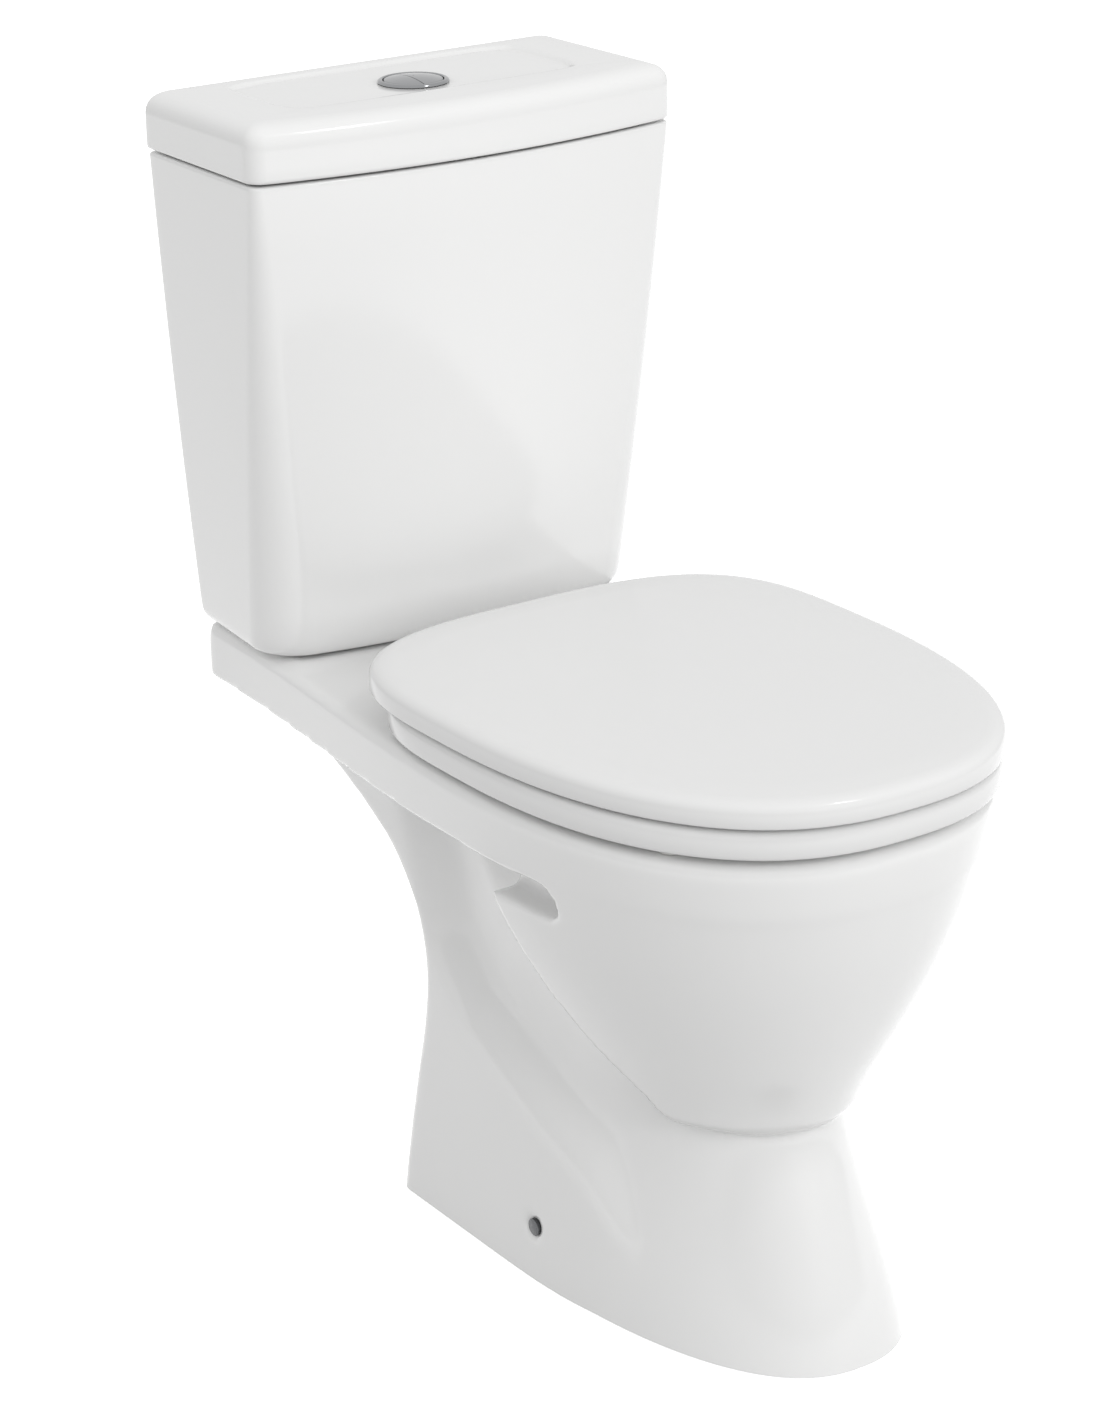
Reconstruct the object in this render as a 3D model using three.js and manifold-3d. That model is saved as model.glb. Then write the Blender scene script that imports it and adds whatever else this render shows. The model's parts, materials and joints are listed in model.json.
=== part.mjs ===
// Close coupled toilet: a floor-standing pan, a cistern bolted on its deck, a hinged seat and lid,
// and the flush and fill valves inside. Millimetres, +Z up, the front faces -Y.
// All measures are taken from the wall plane (y = 0) and the floor (z = 0); the finished group is
// then moved so that its origin is the centre of its own footprint.
import * as THREE from "three";
import { LoftGeometry } from "three/addons/geometries/LoftGeometry.js";
import { mergeVertices } from "three/addons/utils/BufferGeometryUtils.js";
import Module from "manifold-3d";

const wasm = await Module();
wasm.setup();

// ---- Driving dimensions ---------------------------------------------------------------------
const PROJECTION = 654; // wall to the tip of the seat lid
const SEAM_Z = 758; // joint between cistern and cistern lid
const LID_TOP_Z = 799.6; // top border of the cistern lid
const LID_PANEL_DROP = 2.6; // the shallow panel in the top of the cistern lid
const WALL = 9; // vitreous china walls of the cistern
const CHINA = 12; // vitreous china walls of the pan
const GAP = 0.3; // between touching pieces

const CISTERN_FLOOR_Z = 401; // underside of the cistern
// Half widths at the back and front, depth at the front corners, and the corners' radius.
const CISTERN_TOP = { backHalf: 173.2, frontHalf: 174.4, depth: 152, corner: 9 };
const CISTERN_BOTTOM = { backHalf: 150.5, frontHalf: 158, depth: 119.5, corner: 41 };
const CISTERN_BOW = 20.5; // the front stands this much further out in the middle

const DECK_Z = 399; // platform that carries the cistern
const RIM_Z = 396.5; // top of the rim under the seat
const BAND_Z = 355; // lower edge of the deck and rim band
const DECK_BACK_HALF = 149;
const RIM_HALF = 174;
const RIM_WIDEST_Y = -385;
const RIM_TIP_Y = -646;
const PLATE_UNDER_Z = 383; // underside of the deck plate

const SEAT_HALF = 178.4;
const SEAT_WIDEST_Y = -370;
const RING_BOTTOM_Z = 402.4;
const RING_TOP_Z = 422.4;
const SEAT_LID_BOTTOM_Z = 424.6;
const SEAT_LID_TOP_Z = 444;
const HINGE = { x: 77.5, y: -226, z: 420 };

const BOWL_BOTTOM_Z = 158; // lower lip of the bowl's front
const BOWL_FULL_Z = 357; // above this the bowl runs on as the rim
const SLOT = { backY: -340, frontY: -465, z: 335.5, radius: 15, depth: 50, endX: 191 }; // side grip slots

const FLUSH = { x: 0, y: -65 }; // axis of the flush valve
const FILL = { x: 108, y: -50 }; // axis of the fill valve
const BOLT = { x: 70, y: -62 }; // coupling bolts, one each side
const BUTTON = { x: 0, y: -81 }; // centre of the flush button
const ROD_X = 10; // push rods, one each side of the button's centre
const OUTLET_Z = 186;
const OUTLET_END_Y = -150;
const OUTLET_RADIUS = 51;
const OUTLET_BORE = 42;
const TRAP_BORE = 32;
const TRAP_OUTSIDE = 42; // radius over the trap's wall
const PARTING_Z = 316; // the casting is parted here, and its casing again at PARTING_Y
const PARTING_Y = -330;
const SIDE_HOLE = { y: -371, z: 38 }; // floor fixing, one each side of the foot
const INLET_WELL = { radius: 46, bottomZ: 369, mouth: 31 }; // where the flush valve hangs into the pan

const FLUSH_SEAT_Z = 432; // the flush piston's seat
const TOWER_TOP_Z = 640;
const ROCKER = { x: 21, y: BUTTON.y, z: 660, reach: 15 }; // rocker pivots, one each side
const LEVER = { x: FILL.x, y: FILL.y - 24, z: 712, arm: 26 }; // pivot of the float lever
const FLOAT_BOTTOM_Z = 560;
const FLOAT_TOP_Z = 640;
const BUTTON_RADIUS = 21.4;
const BUTTON_BOTTOM_Z = 787;
const COLLAR_FLOOR_Z = 767; // the button springs stand on it
const SPLIT_X = -4; // line between the small and the large part of the button
const PANEL_Z = LID_TOP_Z - LID_PANEL_DROP;
const BUTTON_TOP_Z = PANEL_Z + 4.6;
const CISTERN_INSIDE_Z = CISTERN_FLOOR_Z + 14;

// ---- Materials ------------------------------------------------------------------------------
const finish = (color, roughness, metalness = 0) =>
  new THREE.MeshStandardMaterial({ color, roughness, metalness });
const china = finish(0xf4f4f2, 0.08);
const seatPlastic = finish(0xf3f3f1, 0.2);
const whitePlastic = finish(0xe9eaea, 0.4);
const greyPlastic = finish(0x9a9ea2, 0.45);
const bluePlastic = finish(0x4d7fa8, 0.45);
const rubber = finish(0x26282a, 0.85);
const paleRubber = finish(0xe4e4e0, 0.7);
const chrome = finish(0xb9bcbf, 0.16, 1);
const brass = finish(0xc2a25a, 0.3, 1);
const steel = finish(0xa9adb0, 0.3, 1);

// ---- Geometry helpers -----------------------------------------------------------------------

// A closed three.js geometry as a solid, facing outwards.
function solid(geometry) {
  const bare = new THREE.BufferGeometry();
  bare.setAttribute("position", geometry.getAttribute("position"));
  bare.setIndex(geometry.index);
  const merged = mergeVertices(bare, 1e-3);
  const corners = merged.index.array;
  const kept = [];
  for (let i = 0; i < corners.length; i += 3) {
    const [a, b, c] = corners.slice(i, i + 3);
    if (a !== b && b !== c && c !== a) kept.push(a, b, c);
  }
  const build = (order) =>
    new wasm.Manifold(
      new wasm.Mesh({
        numProp: 3,
        vertProperties: merged.attributes.position.array,
        triVerts: new Uint32Array(order),
      }),
    );
  const made = build(kept);
  return made.volume() >= 0 ? made : build(kept.reverse());
}

const largest = (made) => made.decompose().sort((a, b) => b.volume() - a.volume())[0];
const join = (...solids) => solids.reduce((whole, next) => whole.add(next));
const cut = (whole, ...tools) => tools.reduce((left, tool) => left.subtract(tool), whole);

function box(x0, x1, y0, y1, z0, z1) {
  const geometry = new THREE.BoxGeometry(x1 - x0, y1 - y0, z1 - z0);
  return solid(geometry.translate((x0 + x1) / 2, (y0 + y1) / 2, (z0 + z1) / 2));
}

// An upright cylinder, or a cone frustum when topRadius is given.
function post(x, y, z0, z1, radius, sides = 20, topRadius = radius) {
  const geometry = new THREE.CylinderGeometry(topRadius, radius, z1 - z0, sides);
  return solid(geometry.rotateX(Math.PI / 2).translate(x, y, (z0 + z1) / 2));
}

function alongX(x0, x1, y, z, radius, sides = 16) {
  const geometry = new THREE.CylinderGeometry(radius, radius, x1 - x0, sides);
  return solid(geometry.rotateZ(Math.PI / 2).translate((x0 + x1) / 2, y, z));
}

function alongY(x, y0, y1, z, radius, sides = 16) {
  const geometry = new THREE.CylinderGeometry(radius, radius, y1 - y0, sides);
  return solid(geometry.translate(x, (y0 + y1) / 2, z));
}

// A turned piece about an upright axis, from a closed profile of [radius, z] pairs.
function turned(x, y, profile, sides = 24) {
  const points = [...profile, profile[0]].map(([radius, z]) => new THREE.Vector2(radius, z));
  return solid(new THREE.LatheGeometry(points, sides).rotateX(Math.PI / 2).translate(x, y, 0));
}

const tube = (x, y, z0, z1, inner, outer, sides = 24) =>
  turned(x, y, [[inner, z0], [outer, z0], [outer, z1], [inner, z1]], sides);

const loft = (sections) => solid(new LoftGeometry(sections, { capStart: true, capEnd: true }));

const mix = (a, b, t) => a + (b - a) * t;
const smooth = (t) => t * t * (3 - 2 * t);
const power = (value, exponent) => Math.sign(value) * Math.abs(value) ** exponent;

// The value at z of a list of [z, value] pairs, straight between them.
function atHeight(pairs, z) {
  const next = pairs.findIndex(([height]) => height >= z);
  if (next <= 0) return pairs[next === 0 ? 0 : pairs.length - 1][1];
  const [z0, v0] = pairs[next - 1];
  const [z1, v1] = pairs[next];
  return mix(v0, v1, (z - z0) / (z1 - z0));
}

// An egg-shaped plan at height z: a front and a back superellipse that meet at the widest line.
function eggPlan(egg, z, inset = 0, count = 44) {
  const { half, widestY, frontY, backY, frontPower = 2.4, backPower = 2.4 } = egg;
  return Array.from({ length: count }, (_, i) => {
    const angle = (2 * Math.PI * i) / count;
    const front = Math.sin(angle) < 0;
    const reach = front ? widestY - frontY : backY - widestY;
    const exponent = 2 / (front ? frontPower : backPower);
    const x = (half - inset) * power(Math.cos(angle), exponent);
    const y = widestY + (reach - inset) * power(Math.sin(angle), exponent);
    return new THREE.Vector3(x, y, z);
  });
}

// A named piece, placed in the group.
const toilet = new THREE.Group();
toilet.position.y = PROJECTION / 2;
function piece(name, made, material) {
  const { numProp, vertProperties, triVerts } = made.getMesh();
  const geometry = new THREE.BufferGeometry();
  const positions = new Float32Array((vertProperties.length / numProp) * 3);
  for (let i = 0; i < positions.length / 3; i++) {
    positions.set(vertProperties.subarray(i * numProp, i * numProp + 3), i * 3);
  }
  geometry.setAttribute("position", new THREE.BufferAttribute(positions, 3));
  geometry.setIndex(new THREE.BufferAttribute(triVerts, 1));
  const mesh = new THREE.Mesh(geometry, material);
  mesh.name = name;
  toilet.add(mesh);
}

const SIDES = [
  ["left", -1],
  ["right", 1],
];

// A pair of distances from the middle, on one side of it, in rising order.
const mirrored = (near, far, side) => [side * near, side * far].sort((a, b) => a - b);

// ---- Pan ------------------------------------------------------------------------------------

// Plan of the deck and rim: a square back, sides that ease out to the widest line, a round front.
function rimPlan(z, inset = 0) {
  const sideSteps = 7;
  const frontSteps = 11;
  const cornerSteps = 3;
  const corner = 8;
  const right = [];
  for (let i = 0; i <= cornerSteps; i++) {
    const angle = (Math.PI / 2) * (1 - i / cornerSteps);
    const x = DECK_BACK_HALF - inset - corner * (1 - Math.cos(angle));
    right.push([x, -inset - corner * (1 - Math.sin(angle))]);
  }
  for (let i = 1; i <= sideSteps; i++) {
    const y = mix(-inset - corner, RIM_WIDEST_Y, i / sideSteps);
    const half = mix(DECK_BACK_HALF, RIM_HALF, smooth(y / RIM_WIDEST_Y));
    right.push([half - inset, y]);
  }
  for (let i = 1; i <= frontSteps; i++) {
    const angle = ((Math.PI / 2) * i) / frontSteps;
    const x = (RIM_HALF - inset) * power(Math.cos(angle), 2 / 2.4);
    const y = RIM_WIDEST_Y + (RIM_TIP_Y + inset - RIM_WIDEST_Y) * power(Math.sin(angle), 2 / 2.4);
    right.push([x, y]);
  }
  const left = right.slice(0, -1).map(([x, y]) => [-x, y]);
  const round = [...right.reverse(), ...left];
  return round.map(([x, y]) => new THREE.Vector3(x, y, z));
}

const deckAndRim = () =>
  join(
    loft([rimPlan(BAND_Z, 1), rimPlan(BAND_Z + 3, 0), rimPlan(RIM_Z - 8, 0), rimPlan(RIM_Z - 2, 2.5),
      rimPlan(RIM_Z, 8)]),
    platform(),
  );

// The step on the deck that the cistern stands on, sloping down to the seat deck in front.
function platform() {
  const plan = (front, z, inset) =>
    [[-1, -inset], [-1, front], [1, front], [1, -inset]].map(
      ([side, y]) => new THREE.Vector3(side * (DECK_BACK_HALF - inset - 2), y, z),
    );
  return loft([plan(-142, RIM_Z - 6, 1), plan(-142, RIM_Z - 1, 1), plan(-126, DECK_Z, 7)]);
}

// The bowl outside, from its lower front edge up to the rim.
function bowlPlan(z, inset = 0) {
  const rise = Math.min(1, (z - BOWL_BOTTOM_Z) / (BOWL_FULL_Z - BOWL_BOTTOM_Z));
  const open = 1 - (1 - rise) ** 1.22;
  const egg = {
    half: mix(88, RIM_HALF - 0.5, open),
    widestY: mix(-438, RIM_WIDEST_Y, open),
    frontY: mix(-560, RIM_TIP_Y + 0.5, open),
    backY: mix(-300, -215, open),
    frontPower: mix(2, 2.4, open),
  };
  return eggPlan(egg, z, inset);
}
const BOWL_LEVELS = [BOWL_BOTTOM_Z, 168, 190, 225, 265, 305, 335, BOWL_FULL_Z, RIM_Z - 9];
const BOWL_SHELL_LEVELS = [168, 225, 305, RIM_Z - CHINA];

// The rear edge of the bowl's cheeks, from the rim down: y and z.
const CHEEK_EDGE = [[-366, 410], [-388, 360], [-402, 320], [-413, 287], [-427, 255], [-442, 227], [-463, 198],
  [-481, 178], [-492, 162], [-500, 140]];

// The space behind the bowl's cheeks.
function behindBowl(extra = 0) {
  const outline = CHEEK_EDGE.map(([y, z]) => new THREE.Vector2(y + extra, z));
  outline.push(new THREE.Vector2(0, 140), new THREE.Vector2(0, 410));
  const geometry = new THREE.ExtrudeGeometry(new THREE.Shape(outline), { depth: 440, bevelEnabled: false });
  return solid(geometry.rotateX(Math.PI / 2).rotateZ(Math.PI / 2).translate(-220, 0, 0));
}

const bowlBody = (inset = 0) =>
  cut(loft(BOWL_LEVELS.map((z) => bowlPlan(z, inset))), behindBowl(-inset));

// The pedestal round the trap: half width, back and front at each height.
const PEDESTAL_HALF = [[0, 114.7], [50, 110], [100, 106], [150, 103], [200, 102], [250, 103], [300, 108],
  [340, 118], [390, 126]];
const PEDESTAL_BACK = [[0, -196], [50, -200], [100, -207], [142, -214], [180, -216], [210, -211],
  [240, -198], [270, -174], [300, -134], [315, -112], [340, -94], [390, -90]];
const PEDESTAL_FRONT = [[0, -520], [142, -522], [250, -500], [390, -460]];

// The deepest line of the hollow in each side of the pedestal, from the deck down: y, z and depth.
const SIDE_VALLEY = [[-262, 420, 10], [-270, 300, 13], [-278, 228, 14], [-308, 192, 13], [-349, 174, 12],
  [-385, 157, 11], [-438, 138, 9], [-474, 114, 5]];
const VALLEY_REACH = 46; // where the hollow fades out, towards the foot
const VALLEY_REACH_TO_BOWL = 72;

// How far the pedestal's side lies inside its plain outline.
function relief(y, z) {
  const nearest = SIDE_VALLEY.slice(1).map(([y1, z1, depth1], i) => {
    const [y0, z0, depth0] = SIDE_VALLEY[i];
    const [runY, runZ] = [y1 - y0, z1 - z0];
    const along = ((y - y0) * runY + (z - z0) * runZ) / (runY ** 2 + runZ ** 2);
    const t = Math.min(Math.max(along, 0), 1);
    const [offY, offZ] = [y - mix(y0, y1, t), z - mix(z0, z1, t)];
    const reach = runY * offZ < runZ * offY ? VALLEY_REACH_TO_BOWL : VALLEY_REACH;
    return { distance: Math.hypot(offY, offZ), reach, depth: mix(depth0, depth1, t) };
  }).reduce((best, next) => (next.distance < best.distance ? next : best));
  return nearest.depth * (1 - smooth(Math.min(nearest.distance / nearest.reach, 1)));
}

function pedestalPlan(z, inset = 0) {
  const half = atHeight(PEDESTAL_HALF, z) - inset;
  const back = atHeight(PEDESTAL_BACK, z) - inset;
  const front = atHeight(PEDESTAL_FRONT, z) + inset;
  const shoulder = -316;
  const corner = 12;
  const frontSteps = 12;
  const sideSteps = 5;
  const cornerSteps = 3;
  const right = [];
  for (let i = 0; i <= cornerSteps; i++) {
    const angle = (Math.PI / 2) * (1 - i / cornerSteps);
    right.push([half - corner * (1 - Math.cos(angle)), back - corner * (1 - Math.sin(angle))]);
  }
  for (let i = 1; i < sideSteps; i++) {
    const y = mix(back - corner, shoulder, i / sideSteps);
    right.push([half - relief(y, z), y]);
  }
  for (let i = 0; i <= frontSteps; i++) {
    const angle = (Math.PI / 2) * (i / frontSteps) ** 1.5;
    const y = shoulder + (front - shoulder) * power(Math.sin(angle), 2 / 3.2);
    right.push([Math.max(half * power(Math.cos(angle), 2 / 3.2) - relief(y, z), 0), y]);
  }
  const left = right.slice(0, -1).map(([x, y]) => [-x, y]);
  const round = [...right.reverse(), ...left];
  return round.map(([x, y]) => new THREE.Vector3(x, y, z));
}
const PEDESTAL_LEVELS = [0, 50, 80, 105, 125, 142, 160, 180, 200, 220, 245, 275, 300, 330, 388];
const PEDESTAL_INSIDE_LEVELS = [0, 80, 105, 142, 180, 200, 220, 245, 275, 300, PLATE_UNDER_Z];

// The foot in front of the pedestal: height, half width, widest line, front and its squareness.
const FOOT_LEVELS = [[0, 113.7, -316, -608.3, 2.35], [30, 106, -335, -601, 2.3], [70, 95, -365, -587, 2.2],
  [110, 84, -395, -571, 2.1], [150, 75, -430, -553, 2], [180, 70, -435, -547, 2], [200, 66, -435, -540, 2]];
const footPlan = ([z, half, widestY, frontY, frontPower], inset = 0) =>
  eggPlan({ half, widestY, frontY, backY: widestY + 100, frontPower }, z, inset);

// Inside of the bowl, down to the sump: height, half width, widest line, front and back.
const BOWL_INSIDE = [[RIM_Z + 1, 116, -410, -578, -264], [352, 118, -412, -580, -262],
  [300, 98, -405, -562, -268], [240, 84, -392, -520, -282], [190, 58, -375, -468, -296],
  [140, 44, -352, -404, -304], [90, 40, -345, -390, -306], [56, 34, -342, -378, -310],
  [42, 20, -340, -362, -322]];
const insidePlan = ([z, half, widestY, frontY, backY], inset = 0) =>
  eggPlan({ half, widestY, frontY, backY, frontPower: 2.2, backPower: 2.2 }, z, inset, 28);
const bowlInside = (inset = 0) => {
  const levels = [...BOWL_INSIDE].reverse();
  if (inset < 0) levels[0] = [levels[0][0] + inset, ...levels[0].slice(1)];
  return loft(levels.map((level) => insidePlan(level, inset)));
};

// The trap: from the sump, over the weir, to the outlet behind the pan.
const TRAP_ROUTE = [[-352, 82], [-322, 70], [-288, 92], [-260, 138], [-228, 178], [-190, OUTLET_Z],
  [OUTLET_END_Y - 4, OUTLET_Z]];
function trap(radius) {
  const route = new THREE.CatmullRomCurve3(TRAP_ROUTE.map(([y, z]) => new THREE.Vector3(0, y, z)));
  const section = new THREE.Shape().absarc(0, 0, radius, 0, 2 * Math.PI);
  const options = { steps: 12, curveSegments: 7, bevelEnabled: false, extrudePath: route };
  return solid(new THREE.ExtrudeGeometry(section, options));
}

// The flush way from under the cistern to the back of the bowl.
const flushWay = (wall) => box(-28 - wall, 28 + wall, -275, -42 + wall, 343 - wall, 369 + wall);

// The hollow inside the casting, open at the floor.
function castingHollow(shells) {
  const inner = join(
    loft(BOWL_SHELL_LEVELS.map((z) => bowlPlan(z, CHINA))).subtract(behindBowl(-CHINA)),
    loft(PEDESTAL_INSIDE_LEVELS.map((z) => pedestalPlan(z, CHINA))),
    loft(FOOT_LEVELS.filter((_, i) => i % 2 === 0).map((level) => footPlan(level, CHINA))),
    box(-90, 90, -480, -240, -5, 5),
  );
  return cut(inner, box(-200, 200, -700, 0, PLATE_UNDER_Z, 500), shells, spigot())
    .decompose()
    .find((part) => part.boundingBox().min[2] < 0);
}

const spigot = () => alongY(0, -260, OUTLET_END_Y, OUTLET_Z, OUTLET_RADIUS, 28);

// The whole casting, before it is parted.
function casting(shells) {
  const outside = join(
    deckAndRim(),
    bowlBody(),
    loft(PEDESTAL_LEVELS.map((z) => pedestalPlan(z))),
    loft(FOOT_LEVELS.map((level) => footPlan(level))),
    box(-56, 56, -122, -16, 335, DECK_Z - 4),
    spigot(),
  );
  const insideWalls = shells.intersect(box(-200, 200, -640, OUTLET_END_Y + 1, 20, RIM_Z - 2));
  const above = DECK_Z + 5;
  const tools = [
    castingHollow(shells),
    bowlInside(),
    trap(TRAP_BORE),
    alongY(0, -212, OUTLET_END_Y + 5, OUTLET_Z, OUTLET_BORE, 28),
    flushWay(0),
    post(FLUSH.x, FLUSH.y, INLET_WELL.bottomZ, above, INLET_WELL.radius, 28),
    post(FLUSH.x, FLUSH.y, INLET_WELL.bottomZ - 19, above, INLET_WELL.mouth, 24),
    post(FILL.x, FILL.y, PLATE_UNDER_Z - 13, above, 20),
  ];
  for (const [, side] of SIDES) {
    tools.push(box(...mirrored(57, 134, side), -86, -12, 330, PLATE_UNDER_Z));
    tools.push(post(side * BOLT.x, BOLT.y, PLATE_UNDER_Z - 13, above, 6, 16));
    tools.push(post(side * HINGE.x, HINGE.y, PLATE_UNDER_Z - 13, above, 8, 16));
    tools.push(sideSlot(side));
    tools.push(sideHole(side));
  }
  return cut(outside.add(insideWalls), ...tools);
}

// The casting in four simpler solids: its top, the bowl with the trap, and a front and a back casing.
function panParts() {
  const shells = join(bowlInside(-CHINA), trap(TRAP_OUTSIDE), flushWay(CHINA));
  const whole = casting(shells);
  const lower = whole.intersect(box(-200, 200, -700, 0, -10, PARTING_Z - GAP));
  const vessel = join(bowlInside(-CHINA), trap(TRAP_OUTSIDE), spigot());
  const aroundVessel = join(
    bowlInside(-CHINA - GAP),
    trap(TRAP_OUTSIDE + GAP),
    alongY(0, -265, OUTLET_END_Y + 5, OUTLET_Z, OUTLET_RADIUS + GAP, 28),
  );
  const casing = lower.subtract(aroundVessel);
  return {
    pan: whole.trimByPlane([0, 0, 1], PARTING_Z),
    pan_bowl: lower.intersect(vessel),
    pan_casing_front: largest(casing.trimByPlane([0, -1, 0], -PARTING_Y)),
    pan_casing_back: casing.trimByPlane([0, 1, 0], PARTING_Y + GAP),
  };
}

// The grip slot under the rim, open to the recess behind the bowl.
function sideSlot(side) {
  const { backY, frontY, z, radius, depth, endX } = SLOT;
  const shape = new THREE.Shape();
  shape.moveTo(backY, z - radius);
  shape.lineTo(backY, z + radius);
  shape.lineTo(frontY, z + radius);
  shape.absarc(frontY, z, radius, Math.PI / 2, (3 * Math.PI) / 2, false);
  shape.closePath();
  const geometry = new THREE.ExtrudeGeometry(shape, { depth, bevelEnabled: false, curveSegments: 6 });
  geometry.rotateX(Math.PI / 2).rotateZ(Math.PI / 2);
  return solid(geometry.translate(side > 0 ? endX - depth : -endX, 0, 0));
}

// The hole for the floor fixing: a wide mouth, then a through hole for the screw.
function sideHole(side) {
  const { y, z } = SIDE_HOLE;
  return join(
    alongX(...mirrored(106, 130, side), y, z, 9, 20),
    alongX(...mirrored(80, 108, side), y, z, 4, 14),
  );
}

for (const [name, part] of Object.entries(panParts())) {
  piece(name, part, china);
}

// The side fixings: a plastic bracket on the floor inside each side of the foot, and its screw.
for (const [name, side] of SIDES) {
  const { y, z } = SIDE_HOLE;
  const block = box(...mirrored(74, 92, side), y - 18, y + 18, 0, 54);
  const bore = alongX(...mirrored(70, 96, side), y, z, 3.4, 12);
  piece(`floor_bracket_${name}`, cut(block, bore), greyPlastic);
  const shank = alongX(...mirrored(76, 107, side), y, z, 3, 12);
  const head = alongX(...mirrored(106.4, 110, side), y, z, 6.5, 16);
  piece(`fixing_screw_${name}`, join(shank, head), steel);
}

// ---- Cistern --------------------------------------------------------------------------------

// Plan of the cistern: square at the back, round front corners, and a front that bows outwards.
function cisternPlan(size, z, inset = 0, backInset = inset) {
  const backHalf = size.backHalf - inset;
  const frontHalf = size.frontHalf - inset;
  const depth = size.depth - inset;
  const radius = Math.max(size.corner - inset, 6);
  const backRadius = 3;
  const cornerSteps = 5;
  const bowSteps = 6;
  const front = (x) => -depth - CISTERN_BOW * (1 - (x / frontHalf) ** 2);
  const turn = Math.atan((2 * CISTERN_BOW) / frontHalf);
  const centreX = frontHalf - radius;
  const bowEndX = centreX + radius * Math.sin(turn);
  const centreY = front(bowEndX) + radius * Math.cos(turn);
  const right = [[backHalf - backRadius, -backInset], [backHalf, -backInset - backRadius]];
  for (let i = 0; i <= cornerSteps; i++) {
    const angle = (Math.PI / 2 - turn) * (i / cornerSteps);
    right.push([centreX + radius * Math.cos(angle), centreY - radius * Math.sin(angle)]);
  }
  for (let i = 1; i <= bowSteps; i++) {
    const x = bowEndX * (1 - i / bowSteps);
    right.push([x, front(x)]);
  }
  const left = right.slice(0, -1).map(([x, y]) => [-x, y]);
  const round = [...right.reverse(), ...left];
  return round.map(([x, y]) => new THREE.Vector3(x, y, z));
}

// The cistern tapers evenly from the seam to its floor.
function cisternAt(z, inset = 0) {
  const t = (z - CISTERN_FLOOR_Z) / (SEAM_Z - CISTERN_FLOOR_Z);
  const sizes = Object.keys(CISTERN_TOP).map((key) => [key, mix(CISTERN_BOTTOM[key], CISTERN_TOP[key], t)]);
  return cisternPlan(Object.fromEntries(sizes), z, inset);
}

function cistern() {
  const outside = loft([cisternAt(CISTERN_FLOOR_Z, 4), cisternAt(CISTERN_FLOOR_Z + 5, 1.4),
    cisternAt(CISTERN_FLOOR_Z + 14), cisternAt(SEAM_Z - 0.6)]);
  const floor = CISTERN_INSIDE_Z;
  const inside = loft([cisternAt(floor, 16), cisternAt(floor + 8, WALL), cisternAt(SEAM_Z + 5, WALL)]);
  const holes = [
    post(FLUSH.x, FLUSH.y, 390, floor + 5, 26, 28),
    post(FILL.x, FILL.y, 390, floor + 5, 10.6, 20),
    ...SIDES.map(([, side]) => post(side * BOLT.x, BOLT.y, 390, floor + 5, 5, 16)),
  ];
  return cut(outside, inside, ...holes);
}
piece("cistern", cistern(), china);

// The cistern lid: a skirt, a broad round shoulder, a shallow panel in the top, hollow below.
const LID_OVERHANG = 1.6;
const lidPlan = (z, inset, backInset = inset) =>
  cisternPlan({ ...CISTERN_TOP, corner: CISTERN_TOP.corner + 4 }, z, inset - LID_OVERHANG, backInset);
function panelPlan(z, inset) {
  const half = 122 - inset;
  const back = -16 - inset;
  const front = -122 + inset;
  const corner = 10;
  const steps = 3;
  const points = [];
  const centres = [[half - corner, back - corner, 0], [corner - half, back - corner, 1],
    [corner - half, front + corner, 2], [half - corner, front + corner, 3]];
  for (const [x, y, quarter] of centres) {
    for (let i = 0; i <= steps; i++) {
      const angle = (Math.PI / 2) * (quarter + i / steps);
      points.push(new THREE.Vector3(x + corner * Math.cos(angle), y + corner * Math.sin(angle), z));
    }
  }
  return points;
}
function cisternLid() {
  const skirt = SEAM_Z + 1.4;
  const outside = loft([lidPlan(skirt, 1.5), lidPlan(skirt + 2, 0), lidPlan(785, 0), lidPlan(792, 1.6, 0.5),
    lidPlan(796.5, 5.6, 2), lidPlan(798.8, 11.5, 3.5), lidPlan(LID_TOP_Z, 18.5, 5.5)]);
  const inside = loft([lidPlan(skirt - 5, WALL), lidPlan(780, WALL + 1), lidPlan(787.5, WALL + 9)]);
  const panelZ = LID_TOP_Z - LID_PANEL_DROP;
  const panel = loft([panelPlan(panelZ, 6), panelPlan(LID_TOP_Z - 0.6, 2), panelPlan(LID_TOP_Z + 2, 0)]);
  const lip = cut(
    loft([lidPlan(SEAM_Z - 8, 16), lidPlan(789, 16)]),
    loft([lidPlan(SEAM_Z - 12, 22), lidPlan(787.5, 22)]),
    box(-60, 60, -200, 10, 740, SEAM_Z + 4),
  );
  return cut(outside, inside, panel).add(lip).subtract(post(BUTTON.x, BUTTON.y, 740, 810, 23.8, 36));
}
piece("cistern_lid", cisternLid(), china);

// ---- Coupling of cistern and pan ------------------------------------------------------------

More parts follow.
